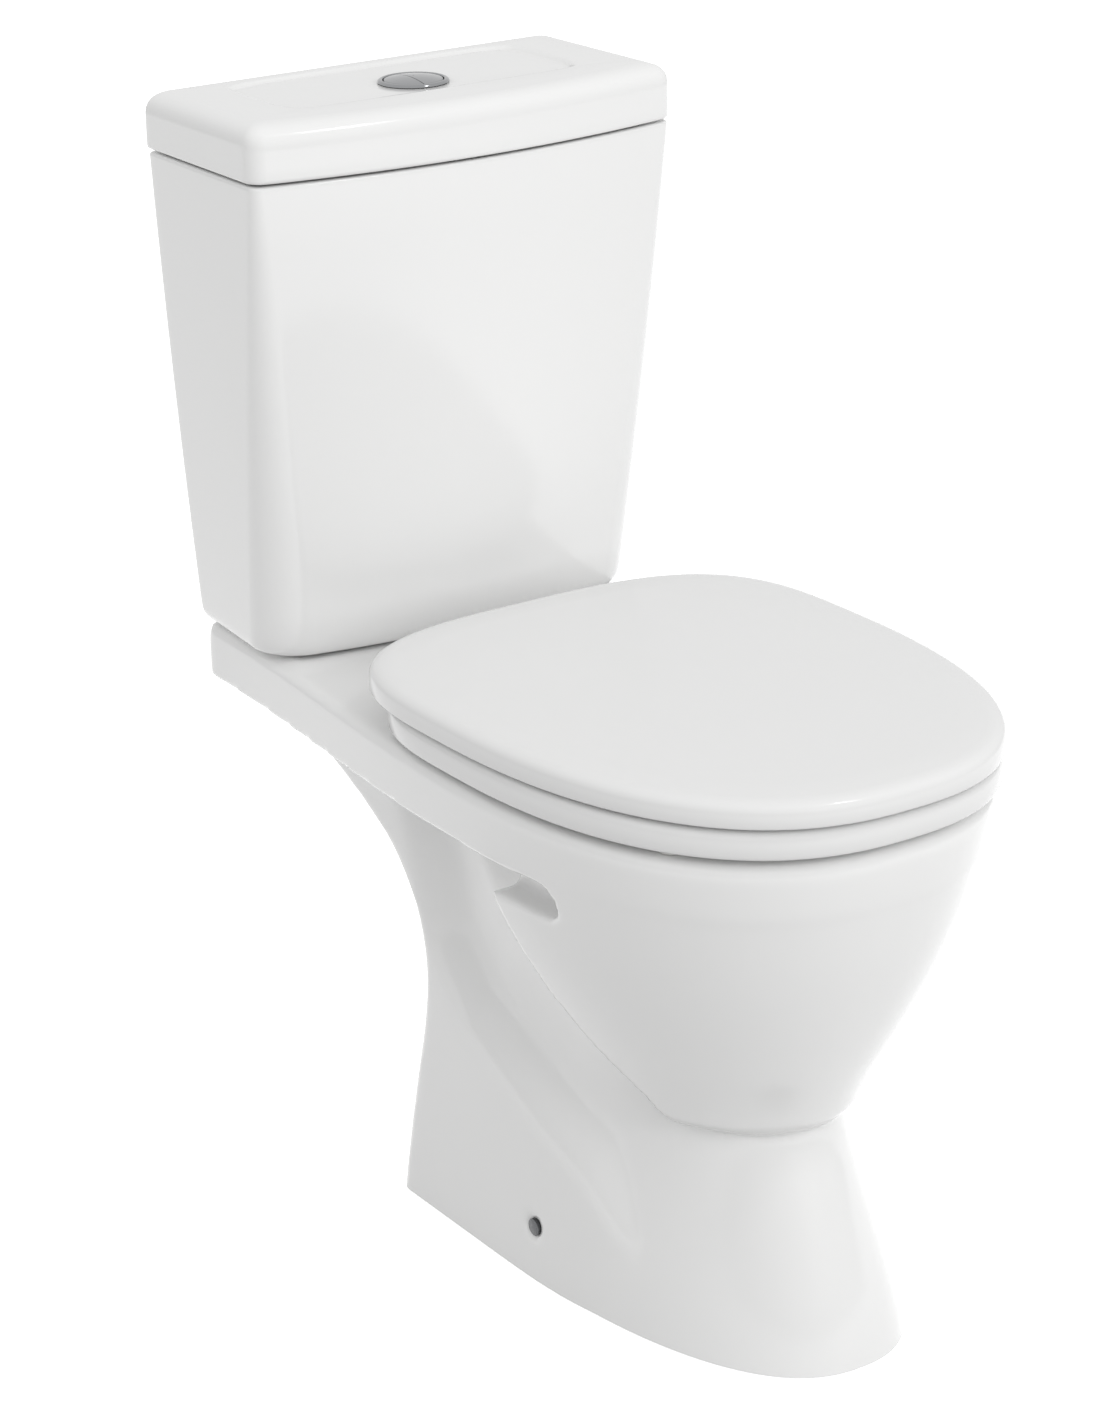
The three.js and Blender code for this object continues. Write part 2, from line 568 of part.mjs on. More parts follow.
piece("close_coupling_gasket", tube(FLUSH.x, FLUSH.y, 371, CISTERN_FLOOR_Z - GAP, 34.5, 44, 28), rubber);
for (const [name, side] of SIDES) {
  const x = side * BOLT.x;
  const { y } = BOLT;
  const shank = post(x, y, 358, CISTERN_INSIDE_Z + 4, 4, 14);
  const head = post(x, y, CISTERN_INSIDE_Z + 3.6, CISTERN_INSIDE_Z + 9, 8, 18);
  piece(`coupling_bolt_${name}`, join(shank, head), brass);
  const seal = tube(x, y, CISTERN_INSIDE_Z + GAP, CISTERN_INSIDE_Z + 3.3, 4.4, 12, 20);
  piece(`bolt_seal_${name}`, seal, rubber);
  const hub = post(x, y, 370, PLATE_UNDER_Z - GAP, 8, 16, 11);
  const wings = box(x - 2, x + 2, y - 15, y + 15, 366, 378);
  piece(`wing_nut_${name}`, cut(join(hub, wings), post(x, y, 360, 390, 4.4, 14)), brass);
}

// ---- Flush valve ----------------------------------------------------------------------------

function flushValveBase() {
  const { x, y } = FLUSH;
  return turned(x, y, [[20, 352], [25.4, 352], [25.4, 418.6], [35, 418.6], [35, 422], [24, 422],
    [24, FLUSH_SEAT_Z], [20, FLUSH_SEAT_Z]], 28);
}
piece("flush_valve_base", flushValveBase(), whitePlastic);
piece("flush_valve_base_seal",
  tube(FLUSH.x, FLUSH.y, CISTERN_INSIDE_Z + GAP, 418.3, 25.8, 34, 28), rubber);
piece("flush_valve_backnut", tube(FLUSH.x, FLUSH.y, 386, CISTERN_FLOOR_Z - GAP, 25.8, 33.5, 28), whitePlastic);

function flushValveTower() {
  const { x, y } = FLUSH;
  const body = turned(x, y, [[27.5, 422.4], [32, 422.4], [32, 426], [30, 426], [30, TOWER_TOP_Z + 5],
    [15, TOWER_TOP_Z + 5], [15, TOWER_TOP_Z], [27.5, TOWER_TOP_Z]], 24);
  const windows = [box(x - 14, x + 14, y - 40, y + 40, 430, 470), box(x - 40, x + 40, y - 14, y + 14, 430, 470)];
  const ears = SIDES.map(([, side]) => {
    const earX = side * ROCKER.x;
    return join(
      box(earX - 3.5, earX + 3.5, ROCKER.y + 4, ROCKER.y + 8, TOWER_TOP_Z + 3, ROCKER.z + 4),
      alongY(earX, ROCKER.y - 5, ROCKER.y + 5, ROCKER.z, 2, 10),
    );
  });
  return join(cut(body, ...windows), ...ears);
}
piece("flush_valve_tower", flushValveTower(), whitePlastic);

function flushPiston() {
  const { x, y } = FLUSH;
  const stem = turned(x, y, [[10, 436.5], [22, 436.5], [22, 440.5], [13, 440.5], [13, 672], [10, 672]], 20);
  const yoke = join(
    box(x + 11, x + 37, y - 3, y + 5, 665, 671),
    box(x + 31, x + 37, ROCKER.y - 3, y + 1, 665, 671),
  );
  return join(stem, yoke);
}
piece("flush_piston", flushPiston(), bluePlastic);
piece("flush_piston_seal", tube(FLUSH.x, FLUSH.y, FLUSH_SEAT_Z + GAP, 436.2, 14, 24, 24), rubber);

// The rockers turn a button's push downwards into a lift at their outer end.
for (const [name, side] of [["half_flush_rocker", -1], ["full_flush_rocker", 1]]) {
  const ends = mirrored(ROCKER.x - ROCKER.reach, ROCKER.x + ROCKER.reach, side);
  const arm = box(...ends, ROCKER.y - 3, ROCKER.y + 3, ROCKER.z - 3, ROCKER.z + 3);
  const eye = alongY(side * ROCKER.x, ROCKER.y - 3, ROCKER.y + 3, ROCKER.z, 5, 16);
  const bore = alongY(side * ROCKER.x, ROCKER.y - 5, ROCKER.y + 5, ROCKER.z, 2.4, 12);
  piece(name, cut(join(arm, eye), bore), bluePlastic);
}

// ---- Flush buttons --------------------------------------------------------------------------

function buttonCollar() {
  const { x, y } = BUTTON;
  const bottom = COLLAR_FLOOR_Z - 3;
  const body = turned(x, y, [[22, bottom], [23.4, bottom], [23.4, PANEL_Z + GAP], [25.8, PANEL_Z + GAP],
    [25.2, PANEL_Z + 1.8], [23.4, PANEL_Z + 2.6], [22, PANEL_Z + 2.2]], 28);
  const floor = post(x, y, bottom, COLLAR_FLOOR_Z, 22.6, 28);
  const guides = SIDES.map(([, side]) => post(x + side * ROD_X, y, bottom - 4, COLLAR_FLOOR_Z + 3, 2.6, 12));
  return cut(join(body, floor), ...guides);
}
piece("button_collar", buttonCollar(), chrome);
piece("button_collar_nut", tube(BUTTON.x, BUTTON.y, 777, 787.2, 23.8, 30, 28), whitePlastic);

// One round, slightly domed button, split into a small and a large part.
function buttonPart(side) {
  const { x, y } = BUTTON;
  const dome = [];
  const steps = 4;
  for (let i = 0; i <= steps; i++) {
    const radius = BUTTON_RADIUS * (1 - i / steps);
    dome.push([radius, BUTTON_TOP_Z - 2.4 * (radius / BUTTON_RADIUS) ** 2]);
  }
  const whole = turned(x, y, [[0, BUTTON_BOTTOM_Z], [BUTTON_RADIUS, BUTTON_BOTTOM_Z], ...dome], 36);
  const ends = side > 0 ? [SPLIT_X + 0.25, 40] : [-40, SPLIT_X - 0.25];
  const keep = box(...ends, -140, 0, BUTTON_BOTTOM_Z - 10, BUTTON_TOP_Z + 10);
  return whole.intersect(keep).subtract(post(x + side * ROD_X, y, 780, 795, 2.3, 12));
}
const ROD_BOTTOM_Z = ROCKER.z + 4.6;
for (const [name, side] of [["half_flush", -1], ["full_flush", 1]]) {
  const x = BUTTON.x + side * ROD_X;
  piece(`${name}_button`, buttonPart(side), chrome);
  piece(`${name}_rod`, post(x, BUTTON.y, ROD_BOTTOM_Z, 794.6, 2, 12), whitePlastic);
  piece(`${name}_spring`, spring(x, BUTTON.y, COLLAR_FLOOR_Z + GAP, BUTTON_BOTTOM_Z - GAP), steel);
}

// A compression spring round a push rod.
function spring(x, y, z0, z1) {
  const wire = 0.6;
  const turns = 4;
  const coil = new THREE.Curve();
  coil.getPoint = (t, target = new THREE.Vector3()) => {
    const angle = 2 * Math.PI * turns * t;
    return target.set(x + 4.2 * Math.cos(angle), y + 4.2 * Math.sin(angle), mix(z0 + wire, z1 - wire, t));
  };
  const section = new THREE.Shape().absarc(0, 0, wire, 0, 2 * Math.PI);
  const options = { steps: 32, curveSegments: 2, bevelEnabled: false, extrudePath: coil };
  return solid(new THREE.ExtrudeGeometry(section, options));
}

// ---- Fill valve -----------------------------------------------------------------------------

function fillValveRiser() {
  return turned(FILL.x, FILL.y, [[5, 357], [10, 357], [10, 418.6], [17, 418.6], [17, 422], [8, 422],
    [8, 690], [5, 690]], 20);
}
piece("fill_valve_riser", fillValveRiser(), whitePlastic);
piece("fill_valve_seal", tube(FILL.x, FILL.y, CISTERN_INSIDE_Z + GAP, 418.3, 10.4, 16.5, 20), rubber);
const fillBore = post(FILL.x, FILL.y, 380, 410, 10.4, 20);
piece("fill_valve_backnut", cut(post(FILL.x, FILL.y, 387, CISTERN_FLOOR_Z - GAP, 17, 6), fillBore),
  whitePlastic);

function fillValveHead() {
  const { x, y } = FILL;
  const shell = turned(x, y, [[8.4, 676], [13, 676], [18, 682], [18, 716], [15, 720], [8.4, 720]], 20);
  const cap = join(shell, post(x, y, 690.4, 720, 10));
  const lug = box(x - 3, x + 3, LEVER.y + 3.2, y - 10, LEVER.z - 4, LEVER.z + 4);
  const pin = alongY(x, LEVER.y - 4, LEVER.y + 5, LEVER.z, 2, 10);
  return join(cap, lug, pin);
}
piece("fill_valve_head", fillValveHead(), whitePlastic);

const LINK_X = LEVER.x - LEVER.arm;
piece("float_cup",
  turned(FILL.x, FILL.y, [[9, FLOAT_BOTTOM_Z], [11, FLOAT_BOTTOM_Z], [11, FLOAT_TOP_Z - 2.5],
    [30.5, FLOAT_TOP_Z - 2.5], [30.5, FLOAT_BOTTOM_Z], [33, FLOAT_BOTTOM_Z], [33, FLOAT_TOP_Z - 3],
    [30, FLOAT_TOP_Z], [9, FLOAT_TOP_Z]], 24), greyPlastic);
function floatLink() {
  const rod = post(LINK_X, LEVER.y, FLOAT_TOP_Z + GAP, LEVER.z - 4, 2, 10);
  return join(rod, post(LINK_X, LEVER.y, FLOAT_TOP_Z + GAP, FLOAT_TOP_Z + 4, 4, 12));
}
piece("float_link", floatLink(), whitePlastic);
function floatLever() {
  const arm = box(LINK_X - 3, LEVER.x + 6, LEVER.y - 2.5, LEVER.y + 2.5, LEVER.z - 3, LEVER.z + 3);
  return cut(arm, alongY(LEVER.x, LEVER.y - 6, LEVER.y + 6, LEVER.z, 2.4, 12));
}
piece("float_lever", floatLever(), whitePlastic);

// ---- Seat and lid ---------------------------------------------------------------------------

const SEAT_LID = { half: SEAT_HALF, widestY: SEAT_WIDEST_Y, frontY: -PROJECTION, backY: -207,
  frontPower: 2.43, backPower: 3.3 };
const SEAT_RING = { half: SEAT_HALF - 2.4, widestY: -388, frontY: -PROJECTION + 3, backY: -231,
  frontPower: 2.4, backPower: 3.4 };
const SEAT_HOLE = { half: 104, widestY: -430, frontY: -583, backY: -292, frontPower: 2.2, backPower: 2.2 };

const KNUCKLE_RADIUS = 6.8;
const RING_KNUCKLE = [60, 69];
const POST_WIDTH = [69.6, 84.4];
const LID_KNUCKLE = [85, 94];

function seatRing() {
  const ring = loft([eggPlan(SEAT_RING, RING_BOTTOM_Z, 3), eggPlan(SEAT_RING, RING_BOTTOM_Z + 4, 0),
    eggPlan(SEAT_RING, RING_TOP_Z - 5, 0), eggPlan(SEAT_RING, RING_TOP_Z - 1.4, 2), eggPlan(SEAT_RING, RING_TOP_Z, 6)]);
  const hole = loft([eggPlan(SEAT_HOLE, RING_BOTTOM_Z - 3, -3, 40), eggPlan(SEAT_HOLE, RING_TOP_Z - 6, 0, 40),
    eggPlan(SEAT_HOLE, RING_TOP_Z + 3, -7, 40)]);
  const notches = SIDES.map(([, side]) => {
    const { y, z } = HINGE;
    return box(...mirrored(RING_KNUCKLE[1], LID_KNUCKLE[1] + 1.5, side), y - 13, y + 20, z - 30, z + 20);
  });
  const knuckles = SIDES.map(([, side]) => {
    const [x0, x1] = mirrored(...RING_KNUCKLE, side);
    const { y, z } = HINGE;
    return join(alongX(x0, x1, y, z, KNUCKLE_RADIUS, 18), box(x0, x1, y - 16, y, z - 6.8, z + 2));
  });
  const bores = SIDES.map(([, side]) => alongX(...mirrored(55, 100, side), HINGE.y, HINGE.z, 4.3, 16));
  return cut(join(cut(ring, hole, ...notches), ...knuckles), ...bores);
}
piece("seat_ring", seatRing(), seatPlastic);

function seatLid() {
  const outside = loft([eggPlan(SEAT_LID, SEAT_LID_BOTTOM_Z, 1.5), eggPlan(SEAT_LID, SEAT_LID_BOTTOM_Z + 2, 0),
    eggPlan(SEAT_LID, 435, 0), eggPlan(SEAT_LID, 439.5, 2), eggPlan(SEAT_LID, 442.3, 7),
    eggPlan(SEAT_LID, 443.4, 22), eggPlan(SEAT_LID, SEAT_LID_TOP_Z, 70)]);
  const inside = loft([eggPlan(SEAT_LID, SEAT_LID_BOTTOM_Z - 3, 7), eggPlan(SEAT_LID, 436, 9),
    eggPlan(SEAT_LID, 438.5, 14)]);
  const knuckles = SIDES.map(([, side]) => {
    const [x0, x1] = mirrored(...LID_KNUCKLE, side);
    const { y, z } = HINGE;
    return join(alongX(x0, x1, y, z, KNUCKLE_RADIUS, 18), box(x0, x1, y - 6.8, y + 6.8, z, 440));
  });
  const bores = SIDES.map(([, side]) => alongX(...mirrored(55, 96, side), HINGE.y, HINGE.z, 4.3, 16));
  return cut(join(cut(outside, inside), ...knuckles), ...bores);
}
piece("seat_lid", seatLid(), seatPlastic);

// Buffers: four under the ring that rest just clear of the rim, four under the lid.
const RING_BUFFERS = { front_left: [-122, -562], front_right: [122, -562], back_left: [-132, -318],
  back_right: [132, -318] };
for (const [place, [x, y]] of Object.entries(RING_BUFFERS)) {
  piece(`ring_buffer_${place}`, post(x, y, RIM_Z + GAP, RING_BOTTOM_Z - GAP, 8.5, 18, 9.5), paleRubber);
}
const LID_BUFFERS = { front_left: [-92, -598], front_right: [92, -598], back_left: [-138, -330],
  back_right: [138, -330] };
for (const [place, [x, y]] of Object.entries(LID_BUFFERS)) {
  piece(`lid_buffer_${place}`, post(x, y, RING_TOP_Z + GAP, 438.2, 6, 14, 6.5), paleRubber);
}

// Hinge posts on the deck, each held by a stud in an expanding rubber plug.
for (const [name, side] of SIDES) {
  const x = side * HINGE.x;
  const { y, z } = HINGE;
  const [x0, x1] = mirrored(...POST_WIDTH, side);
  const base = post(x, y, RIM_Z + GAP, RIM_Z + 4, 17, 28, 15);
  const column = join(box(x0, x1, y - 6.8, y + 3, RIM_Z + 2, z), alongX(x0, x1, y, z, KNUCKLE_RADIUS, 18));
  const socket = post(x, y, RIM_Z - 5, z - 10, 3.4, 12);
  const bore = alongX(...mirrored(55, 100, side), y, z, 4.3, 16);
  piece(`hinge_post_${name}`, cut(join(base, column), socket, bore), chrome);
  piece(`hinge_pin_${name}`, alongX(...mirrored(60.6, 93.4, side), y, z, 4, 14), steel);
  piece(`hinge_stud_${name}`, post(x, y, 350, z - 11, 3, 12), steel);
  piece(`hinge_plug_${name}`, tube(x, y, 362, RIM_Z - 0.5, 3.4, 7.6, 16), rubber);
  piece(`hinge_nut_${name}`, cut(post(x, y, 353, 361.7, 7.4, 6, 6.4), post(x, y, 350, 365, 3.4, 12)), brass);
}

export default toilet;
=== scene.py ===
"""Close coupled toilet: the look of every piece, in the frame of its CAD solids."""

import json
import math

import bmesh
import bpy
import numpy as np
from mathutils import Matrix, Vector


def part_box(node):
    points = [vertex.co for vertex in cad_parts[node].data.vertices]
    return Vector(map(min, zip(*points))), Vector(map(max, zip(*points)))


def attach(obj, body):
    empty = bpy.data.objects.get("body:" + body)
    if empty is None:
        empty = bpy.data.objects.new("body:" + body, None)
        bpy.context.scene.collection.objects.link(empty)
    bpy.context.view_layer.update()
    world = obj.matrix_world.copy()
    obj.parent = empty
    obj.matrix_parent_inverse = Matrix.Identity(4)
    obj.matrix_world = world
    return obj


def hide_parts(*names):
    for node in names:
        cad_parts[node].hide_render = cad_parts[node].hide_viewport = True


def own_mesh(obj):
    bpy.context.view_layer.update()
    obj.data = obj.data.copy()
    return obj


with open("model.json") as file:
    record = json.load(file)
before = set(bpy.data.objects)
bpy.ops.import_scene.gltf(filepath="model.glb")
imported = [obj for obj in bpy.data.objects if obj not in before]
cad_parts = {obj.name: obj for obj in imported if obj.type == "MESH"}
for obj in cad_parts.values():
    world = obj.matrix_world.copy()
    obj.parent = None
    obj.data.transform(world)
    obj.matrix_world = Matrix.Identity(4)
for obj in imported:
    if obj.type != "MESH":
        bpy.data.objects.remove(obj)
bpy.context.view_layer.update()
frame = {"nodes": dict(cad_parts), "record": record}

# ---- Measures ----
# Millimetres from the wall (y = 0, the front is -Y) and from the floor (z = 0).

MM = 0.001
WALL_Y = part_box("cistern")[1].y

SEAM_Z = 758
LID_TOP_Z = 799.6
PANEL_Z = LID_TOP_Z - 2.6
CISTERN_FLOOR_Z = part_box("cistern")[0].z / MM
CISTERN_TOP = {"back": 173.2, "front": 174.4, "depth": 152.0, "corner": 9.0}
CISTERN_BOTTOM = {"back": 150.5, "front": 158.0, "depth": 119.5, "corner": 41.0}
CISTERN_BOW = 20.5
CISTERN_WALL = 9
CISTERN_BELLY = 1.8

DECK_Z = 399  # the step under the cistern
RIM_Z = 396.5
BAND_Z = 355
DECK_BACK_HALF = 149
RIM_HALF = 174
RIM_WIDEST_Y = -385
RIM_TIP_Y = -646

EGG_KEYS = ("half", "widest", "front", "back", "front_power", "back_power")
SEAT_LID = dict(zip(EGG_KEYS, (178.4, -370, -654, -207, 2.43, 3.3)))
SEAT_RING = dict(zip(EGG_KEYS, (176, -388, -651, -231, 2.4, 3.4)))
SEAT_HOLE = dict(zip(EGG_KEYS, (104, -430, -583, -292, 2.2, 2.2)))
HINGE = {"x": 77.5, "y": -226, "z": 420, "radius": 6.8, "bore": 8}
BUTTON = (0, -81)
BUTTON_RADIUS = 21.4
SIDE_HOLE = {"y": -371, "z": 38, "head": 9, "screw": 4}


def mix(a, b, t):
    """The value a share t of the way from a to b."""
    return a + (b - a) * t


def smooth(t):
    """A share from 0 to 1, eased at both ends."""
    return t * t * (3 - 2 * t)


def power(value, exponent):
    """A power that keeps the value's sign."""
    return math.copysign(abs(value) ** exponent, value)


def place(x, y, z):
    """A point in millimetres from wall and floor, in the frame's metres."""
    return Vector((x * MM, WALL_Y + y * MM, z * MM))


def across(side, near, far):
    """The x span between two distances from the middle, on one side."""
    return sorted((side * near, side * far))


# ---- Mesh helpers ----


def add_ring(bm, points):
    """A closed loop of edges through the points."""
    verts = bmesh.ops.create_circle(bm, cap_ends=False, radius=1, segments=len(points))["verts"]
    for vert, point in zip(verts, points):
        vert.co = place(*point)
    return list({e for v in verts for e in v.link_edges})


def loft(bm, sections, closed=False):
    """A skin through sections of equal count: a closed ring, or open with flat ends."""
    pairs = list(zip(sections, sections[1:])) + ([(sections[-1], sections[0])] if closed else [])
    for low, high in pairs:
        bmesh.ops.bridge_loops(bm, edges=add_ring(bm, low) + add_ring(bm, high))
    for section in () if closed else (sections[0], sections[-1]):
        bmesh.ops.contextual_create(bm, geom=add_ring(bm, section))
    bmesh.ops.remove_doubles(bm, verts=bm.verts, dist=1e-7)


def outward(bm):
    """Merges doubled points and turns every face outwards."""
    bmesh.ops.remove_doubles(bm, verts=bm.verts, dist=1e-6)
    bmesh.ops.recalc_face_normals(bm, faces=bm.faces)


def shade(bm, sharp_degrees):
    """Smooth shading, with edges sharper than the limit kept hard."""
    limit = math.radians(sharp_degrees)
    for face in bm.faces:
        face.smooth = True
    for edge in bm.edges:
        edge.smooth = len(edge.link_faces) != 2 or edge.calc_face_angle(0) < limit


def bmesh_of(mesh):
    """A mesh for editing."""
    bm = bmesh.new()
    bm.from_mesh(mesh)
    return bm


def link_object(name, bm):
    """A new object in the scene that takes over the mesh bm."""
    mesh = bpy.data.meshes.new(name)
    bm.to_mesh(mesh)
    bm.free()
    made = bpy.data.objects.new(name, mesh)
    bpy.context.scene.collection.objects.link(made)
    return made


def add_piece(name, bm, material, body, replaced, sharp_degrees):
    """A piece that rides on a body and stands for its CAD nodes."""
    shade(bm, sharp_degrees)
    piece = link_object(name, bm)
    piece.data.materials.append(material)
    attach(piece, body)
    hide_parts(*replaced)


def make(name, bm, material, body, replaced, sharp_degrees):
    """Closes and turns a built mesh, then adds it as a piece."""
    outward(bm)
    add_piece(name, bm, material, body, replaced, sharp_degrees)


def rounded(bm, edges, width, segments=3):
    """Rounds the edges off by a width in millimetres."""
    bmesh.ops.bevel(bm, geom=edges, offset=width * MM, offset_type="OFFSET", affect="EDGES",
                    segments=segments, profile=0.5, material=-1, clamp_overlap=True)


def cylinder(bm, start, end, radius, segments=48):
    """A capped cylinder between two points."""
    a, b = place(*start), place(*end)
    axis = b - a
    turn = axis.to_track_quat("Z", "Y").to_matrix().to_4x4()
    return bmesh.ops.create_cone(
        bm, cap_ends=True, segments=segments, radius1=radius * MM, radius2=radius * MM,
        depth=axis.length, matrix=Matrix.Translation((a + b) / 2) @ turn)["verts"]


def upright_rod(bm, centre, low, high, radius, segments):
    """An upright cylinder about a point of the plan."""
    cylinder(bm, (*centre, low), (*centre, high), radius, segments)


def block(bm, x0, x1, y0, y1, z0, z1):
    """A plain box."""
    low, high = place(x0, y0, z0), place(x1, y1, z1)
    size = Matrix.Diagonal((*(high - low), 1))
    return bmesh.ops.create_cube(bm, size=1, matrix=Matrix.Translation((low + high) / 2) @ size)["verts"]


def spun(bm, centre, profile, steps=96):
    """A turned surface about an upright axis through centre, from [radius, z] pairs."""
    x, y = centre
    verts = [bm.verts.new(place(x + radius, y, z)) for radius, z in profile]
    edges = [bm.edges.new(pair) for pair in zip(verts, verts[1:] + verts[:1])]
    bmesh.ops.spin(bm, geom=verts + edges, cent=place(x, y, 0), axis=(0, 0, 1), angle=2 * math.pi,
                   steps=steps, use_merge=True)


def cut_flat(bm, point, dropped_side):
    """Cuts everything off on one side of a plane, and gives the edges of the cut."""
    cut = bmesh.ops.bisect_plane(bm, geom=bm.verts[:] + bm.edges[:] + bm.faces[:], plane_co=point,
                                 plane_no=dropped_side, clear_outer=True)["geom_cut"]
    return [e for e in cut if isinstance(e, bmesh.types.BMEdge)]


def solid_object(name, build):
    """A loose mesh object for use as a tool, made by build(bm)."""
    bm = bmesh.new()
    build(bm)
    outward(bm)
    return link_object(name, bm)


def combine(base, tool, operation):
    """Joins or cuts base with tool, which is then removed."""
    step = base.modifiers.new("combine", "BOOLEAN")
    step.object = tool
    step.operation = operation
    step.solver = "EXACT"
    apply_modifiers(base)
    bpy.data.meshes.remove(tool.data)


def combine_all(base, operation, *tools):
    """Joins or cuts base with each tool in turn; a tool is its building function and measures."""
    for build, *measures in tools:
        combine(base, solid_object("tool", lambda bm: build(bm, *measures)), operation)


def apply_modifiers(piece):
    """Puts the result of the piece's modifiers in place of its mesh."""
    graph = bpy.context.evaluated_depsgraph_get()
    graph.update()
    made = bpy.data.meshes.new_from_object(piece.evaluated_get(graph))
    old = piece.data
    piece.modifiers.clear()
    piece.data = made
    bpy.data.meshes.remove(old)


# ---- Plans ----


def egg_plan(egg, z, inset, count=128):
    """An egg-shaped plan: a front and a back superellipse that meet at the widest line."""
    points = []
    for i in range(count):
        angle = 2 * math.pi * i / count
        front = math.sin(angle) < 0
        reach = egg["widest"] - egg["front"] if front else egg["back"] - egg["widest"]
        exponent = 2 / (egg["front_power"] if front else egg["back_power"])
        x = (egg["half"] - inset) * power(math.cos(angle), exponent)
        y = egg["widest"] + (reach - inset) * power(math.sin(angle), exponent)
        points.append((x, y, z))
    return points


def both_sides(right):
    """A closed plan from its right half, listed from the back to the front."""
    left = [(-x, y) for x, y in right[:-1]]
    return right[::-1] + left


def back_corner(half, back, radius, steps):
    """The round back corner of a plan's right half, from its back line to its side."""
    angles = [math.pi / 2 * (1 - i / steps) for i in range(steps + 1)]
    return [(half - radius * (1 - math.cos(a)), back - radius * (1 - math.sin(a))) for a in angles]


def at(z, plan):
    """A flat plan as a section at height z."""
    return [(x, y, z) for x, y in plan]


def cistern_plan(size, inset, back_inset):
    """Plan of the cistern: square at the back, round front corners and a bowed front."""
    back_half = size["back"] - inset
    front_half = size["front"] - inset
    depth = size["depth"] - inset
    radius = max(size["corner"] - inset, 6)  # never sharper than this
    back_radius = 3
    turn = math.atan(2 * CISTERN_BOW / front_half)
    centre_x = front_half - radius
    bow_end = centre_x + radius * math.sin(turn)

    def front(x):
        return -depth - CISTERN_BOW * (1 - (x / front_half) ** 2)

    centre_y = front(bow_end) + radius * math.cos(turn)
    right = [(back_half * share - back_radius * share, -back_inset) for share in (0, 0.25, 0.5, 0.75, 0.96)]
    right += back_corner(back_half, -back_inset, back_radius, 4)
    side_x, side_y = right[-1]
    for share in (0.04, 0.25, 0.5, 0.75, 0.97):
        right.append((mix(side_x, centre_x + radius, share), mix(side_y, centre_y, share)))
    corner_steps = 12
    for i in range(corner_steps + 1):
        angle = (math.pi / 2 - turn) * (i / corner_steps)
        right.append((centre_x + radius * math.cos(angle), centre_y - radius * math.sin(angle)))
    for share in (0.985, 0.9, 0.8, 0.7, 0.6, 0.5, 0.4, 0.3, 0.2, 0.1, 0):
        right.append((bow_end * share, front(bow_end * share)))
    left = [(-x, y) for x, y in right[1:-1]]
    return right[::-1] + left


def cistern_at(z, inset):
    """The cistern's plan at a height: it tapers from the seam to its floor, with a slight belly."""
    t = (z - CISTERN_FLOOR_Z) / (SEAM_Z - CISTERN_FLOOR_Z)
    inset -= CISTERN_BELLY * 4 * t * (1 - t)
    size = {key: mix(CISTERN_BOTTOM[key], CISTERN_TOP[key], t) for key in CISTERN_TOP}
    return at(z, cistern_plan(size, inset, max(inset, 0)))


def along_rays(outline, rays, centre, z, shift):
    """Points on outline in the same directions from centre as the points of rays."""
    cx, cy = centre
    xy = np.array([(p[0] - cx, p[1] - cy) for p in outline])
    angles = np.arctan2(xy[:, 1], xy[:, 0])
    order = np.argsort(angles)
    radii = np.hypot(xy[:, 0], xy[:, 1])[order] + shift
    wanted = np.array([math.atan2(p[1] - cy, p[0] - cx) for p in rays])
    found = np.interp(wanted, angles[order], radii, period=2 * math.pi)
    return [(cx + r * math.cos(a), cy + r * math.sin(a), z) for r, a in zip(found, wanted)]


def rounded_rectangle(half_x, y0, y1, corner_power=8, count=720):
    """Outline of a soft-cornered rectangle."""
    middle, half_y = (y0 + y1) / 2, abs(y1 - y0) / 2
    points = []
    for i in range(count):
        angle = 2 * math.pi * i / count
        c, s = math.cos(angle), math.sin(angle)
        r = (abs(c / half_x) ** corner_power + abs(s / half_y) ** corner_power) ** (-1 / corner_power)
        points.append((r * c, middle + r * s))
    return points


def circle_outline(centre, radius, count=180):
    """Points on a circle."""
    return [(centre[0] + radius * math.cos(2 * math.pi * i / count),
             centre[1] + radius * math.sin(2 * math.pi * i / count)) for i in range(count)]


# ---- Materials ----


def new_group(name, inputs, outputs):
    """An empty shader node group with named float or colour sockets."""
    group = bpy.data.node_groups.new(name, "ShaderNodeTree")
    for label, kind, value in inputs:
        socket = group.interface.new_socket(name=label, in_out="INPUT", socket_type=kind)
        socket.default_value = value
    for label, kind in outputs:
        group.interface.new_socket(name=label, in_out="OUTPUT", socket_type=kind)
    return group, group.nodes.new("NodeGroupInput"), group.nodes.new("NodeGroupOutput")


def set_inputs(node, **values):
    """Sets a node's inputs by name, with an underscore for each space."""
    for label, value in values.items():
        node.inputs[label.replace("_", " ")].default_value = value


def group_node(nodes, group, **values):
    """A node that stands for a group, with its inputs set."""
    node = nodes.new("ShaderNodeGroup")
    node.node_tree = group
    set_inputs(node, **values)
    return node


def math_node(nodes, links, operation, first, second):
    """A math node on two sockets or numbers."""
    node = nodes.new("ShaderNodeMath")
    node.operation = operation
    for socket, value in zip(node.inputs, (first, second)):
        if isinstance(value, (int, float)):
            socket.default_value = value
        else:
            links.new(value, socket)
    return node.outputs[0]


def noise(nodes, links, coordinates, scale, detail=2.0, roughness=0.5):
    """A noise texture's value."""
    node = nodes.new("ShaderNodeTexNoise")
    set_inputs(node, Detail=detail, Roughness=roughness)
    if isinstance(scale, (int, float)):
        node.inputs["Scale"].default_value = scale
    else:
        links.new(scale, node.inputs["Scale"])
    links.new(coordinates, node.inputs["Vector"])
    return node.outputs["Fac"]


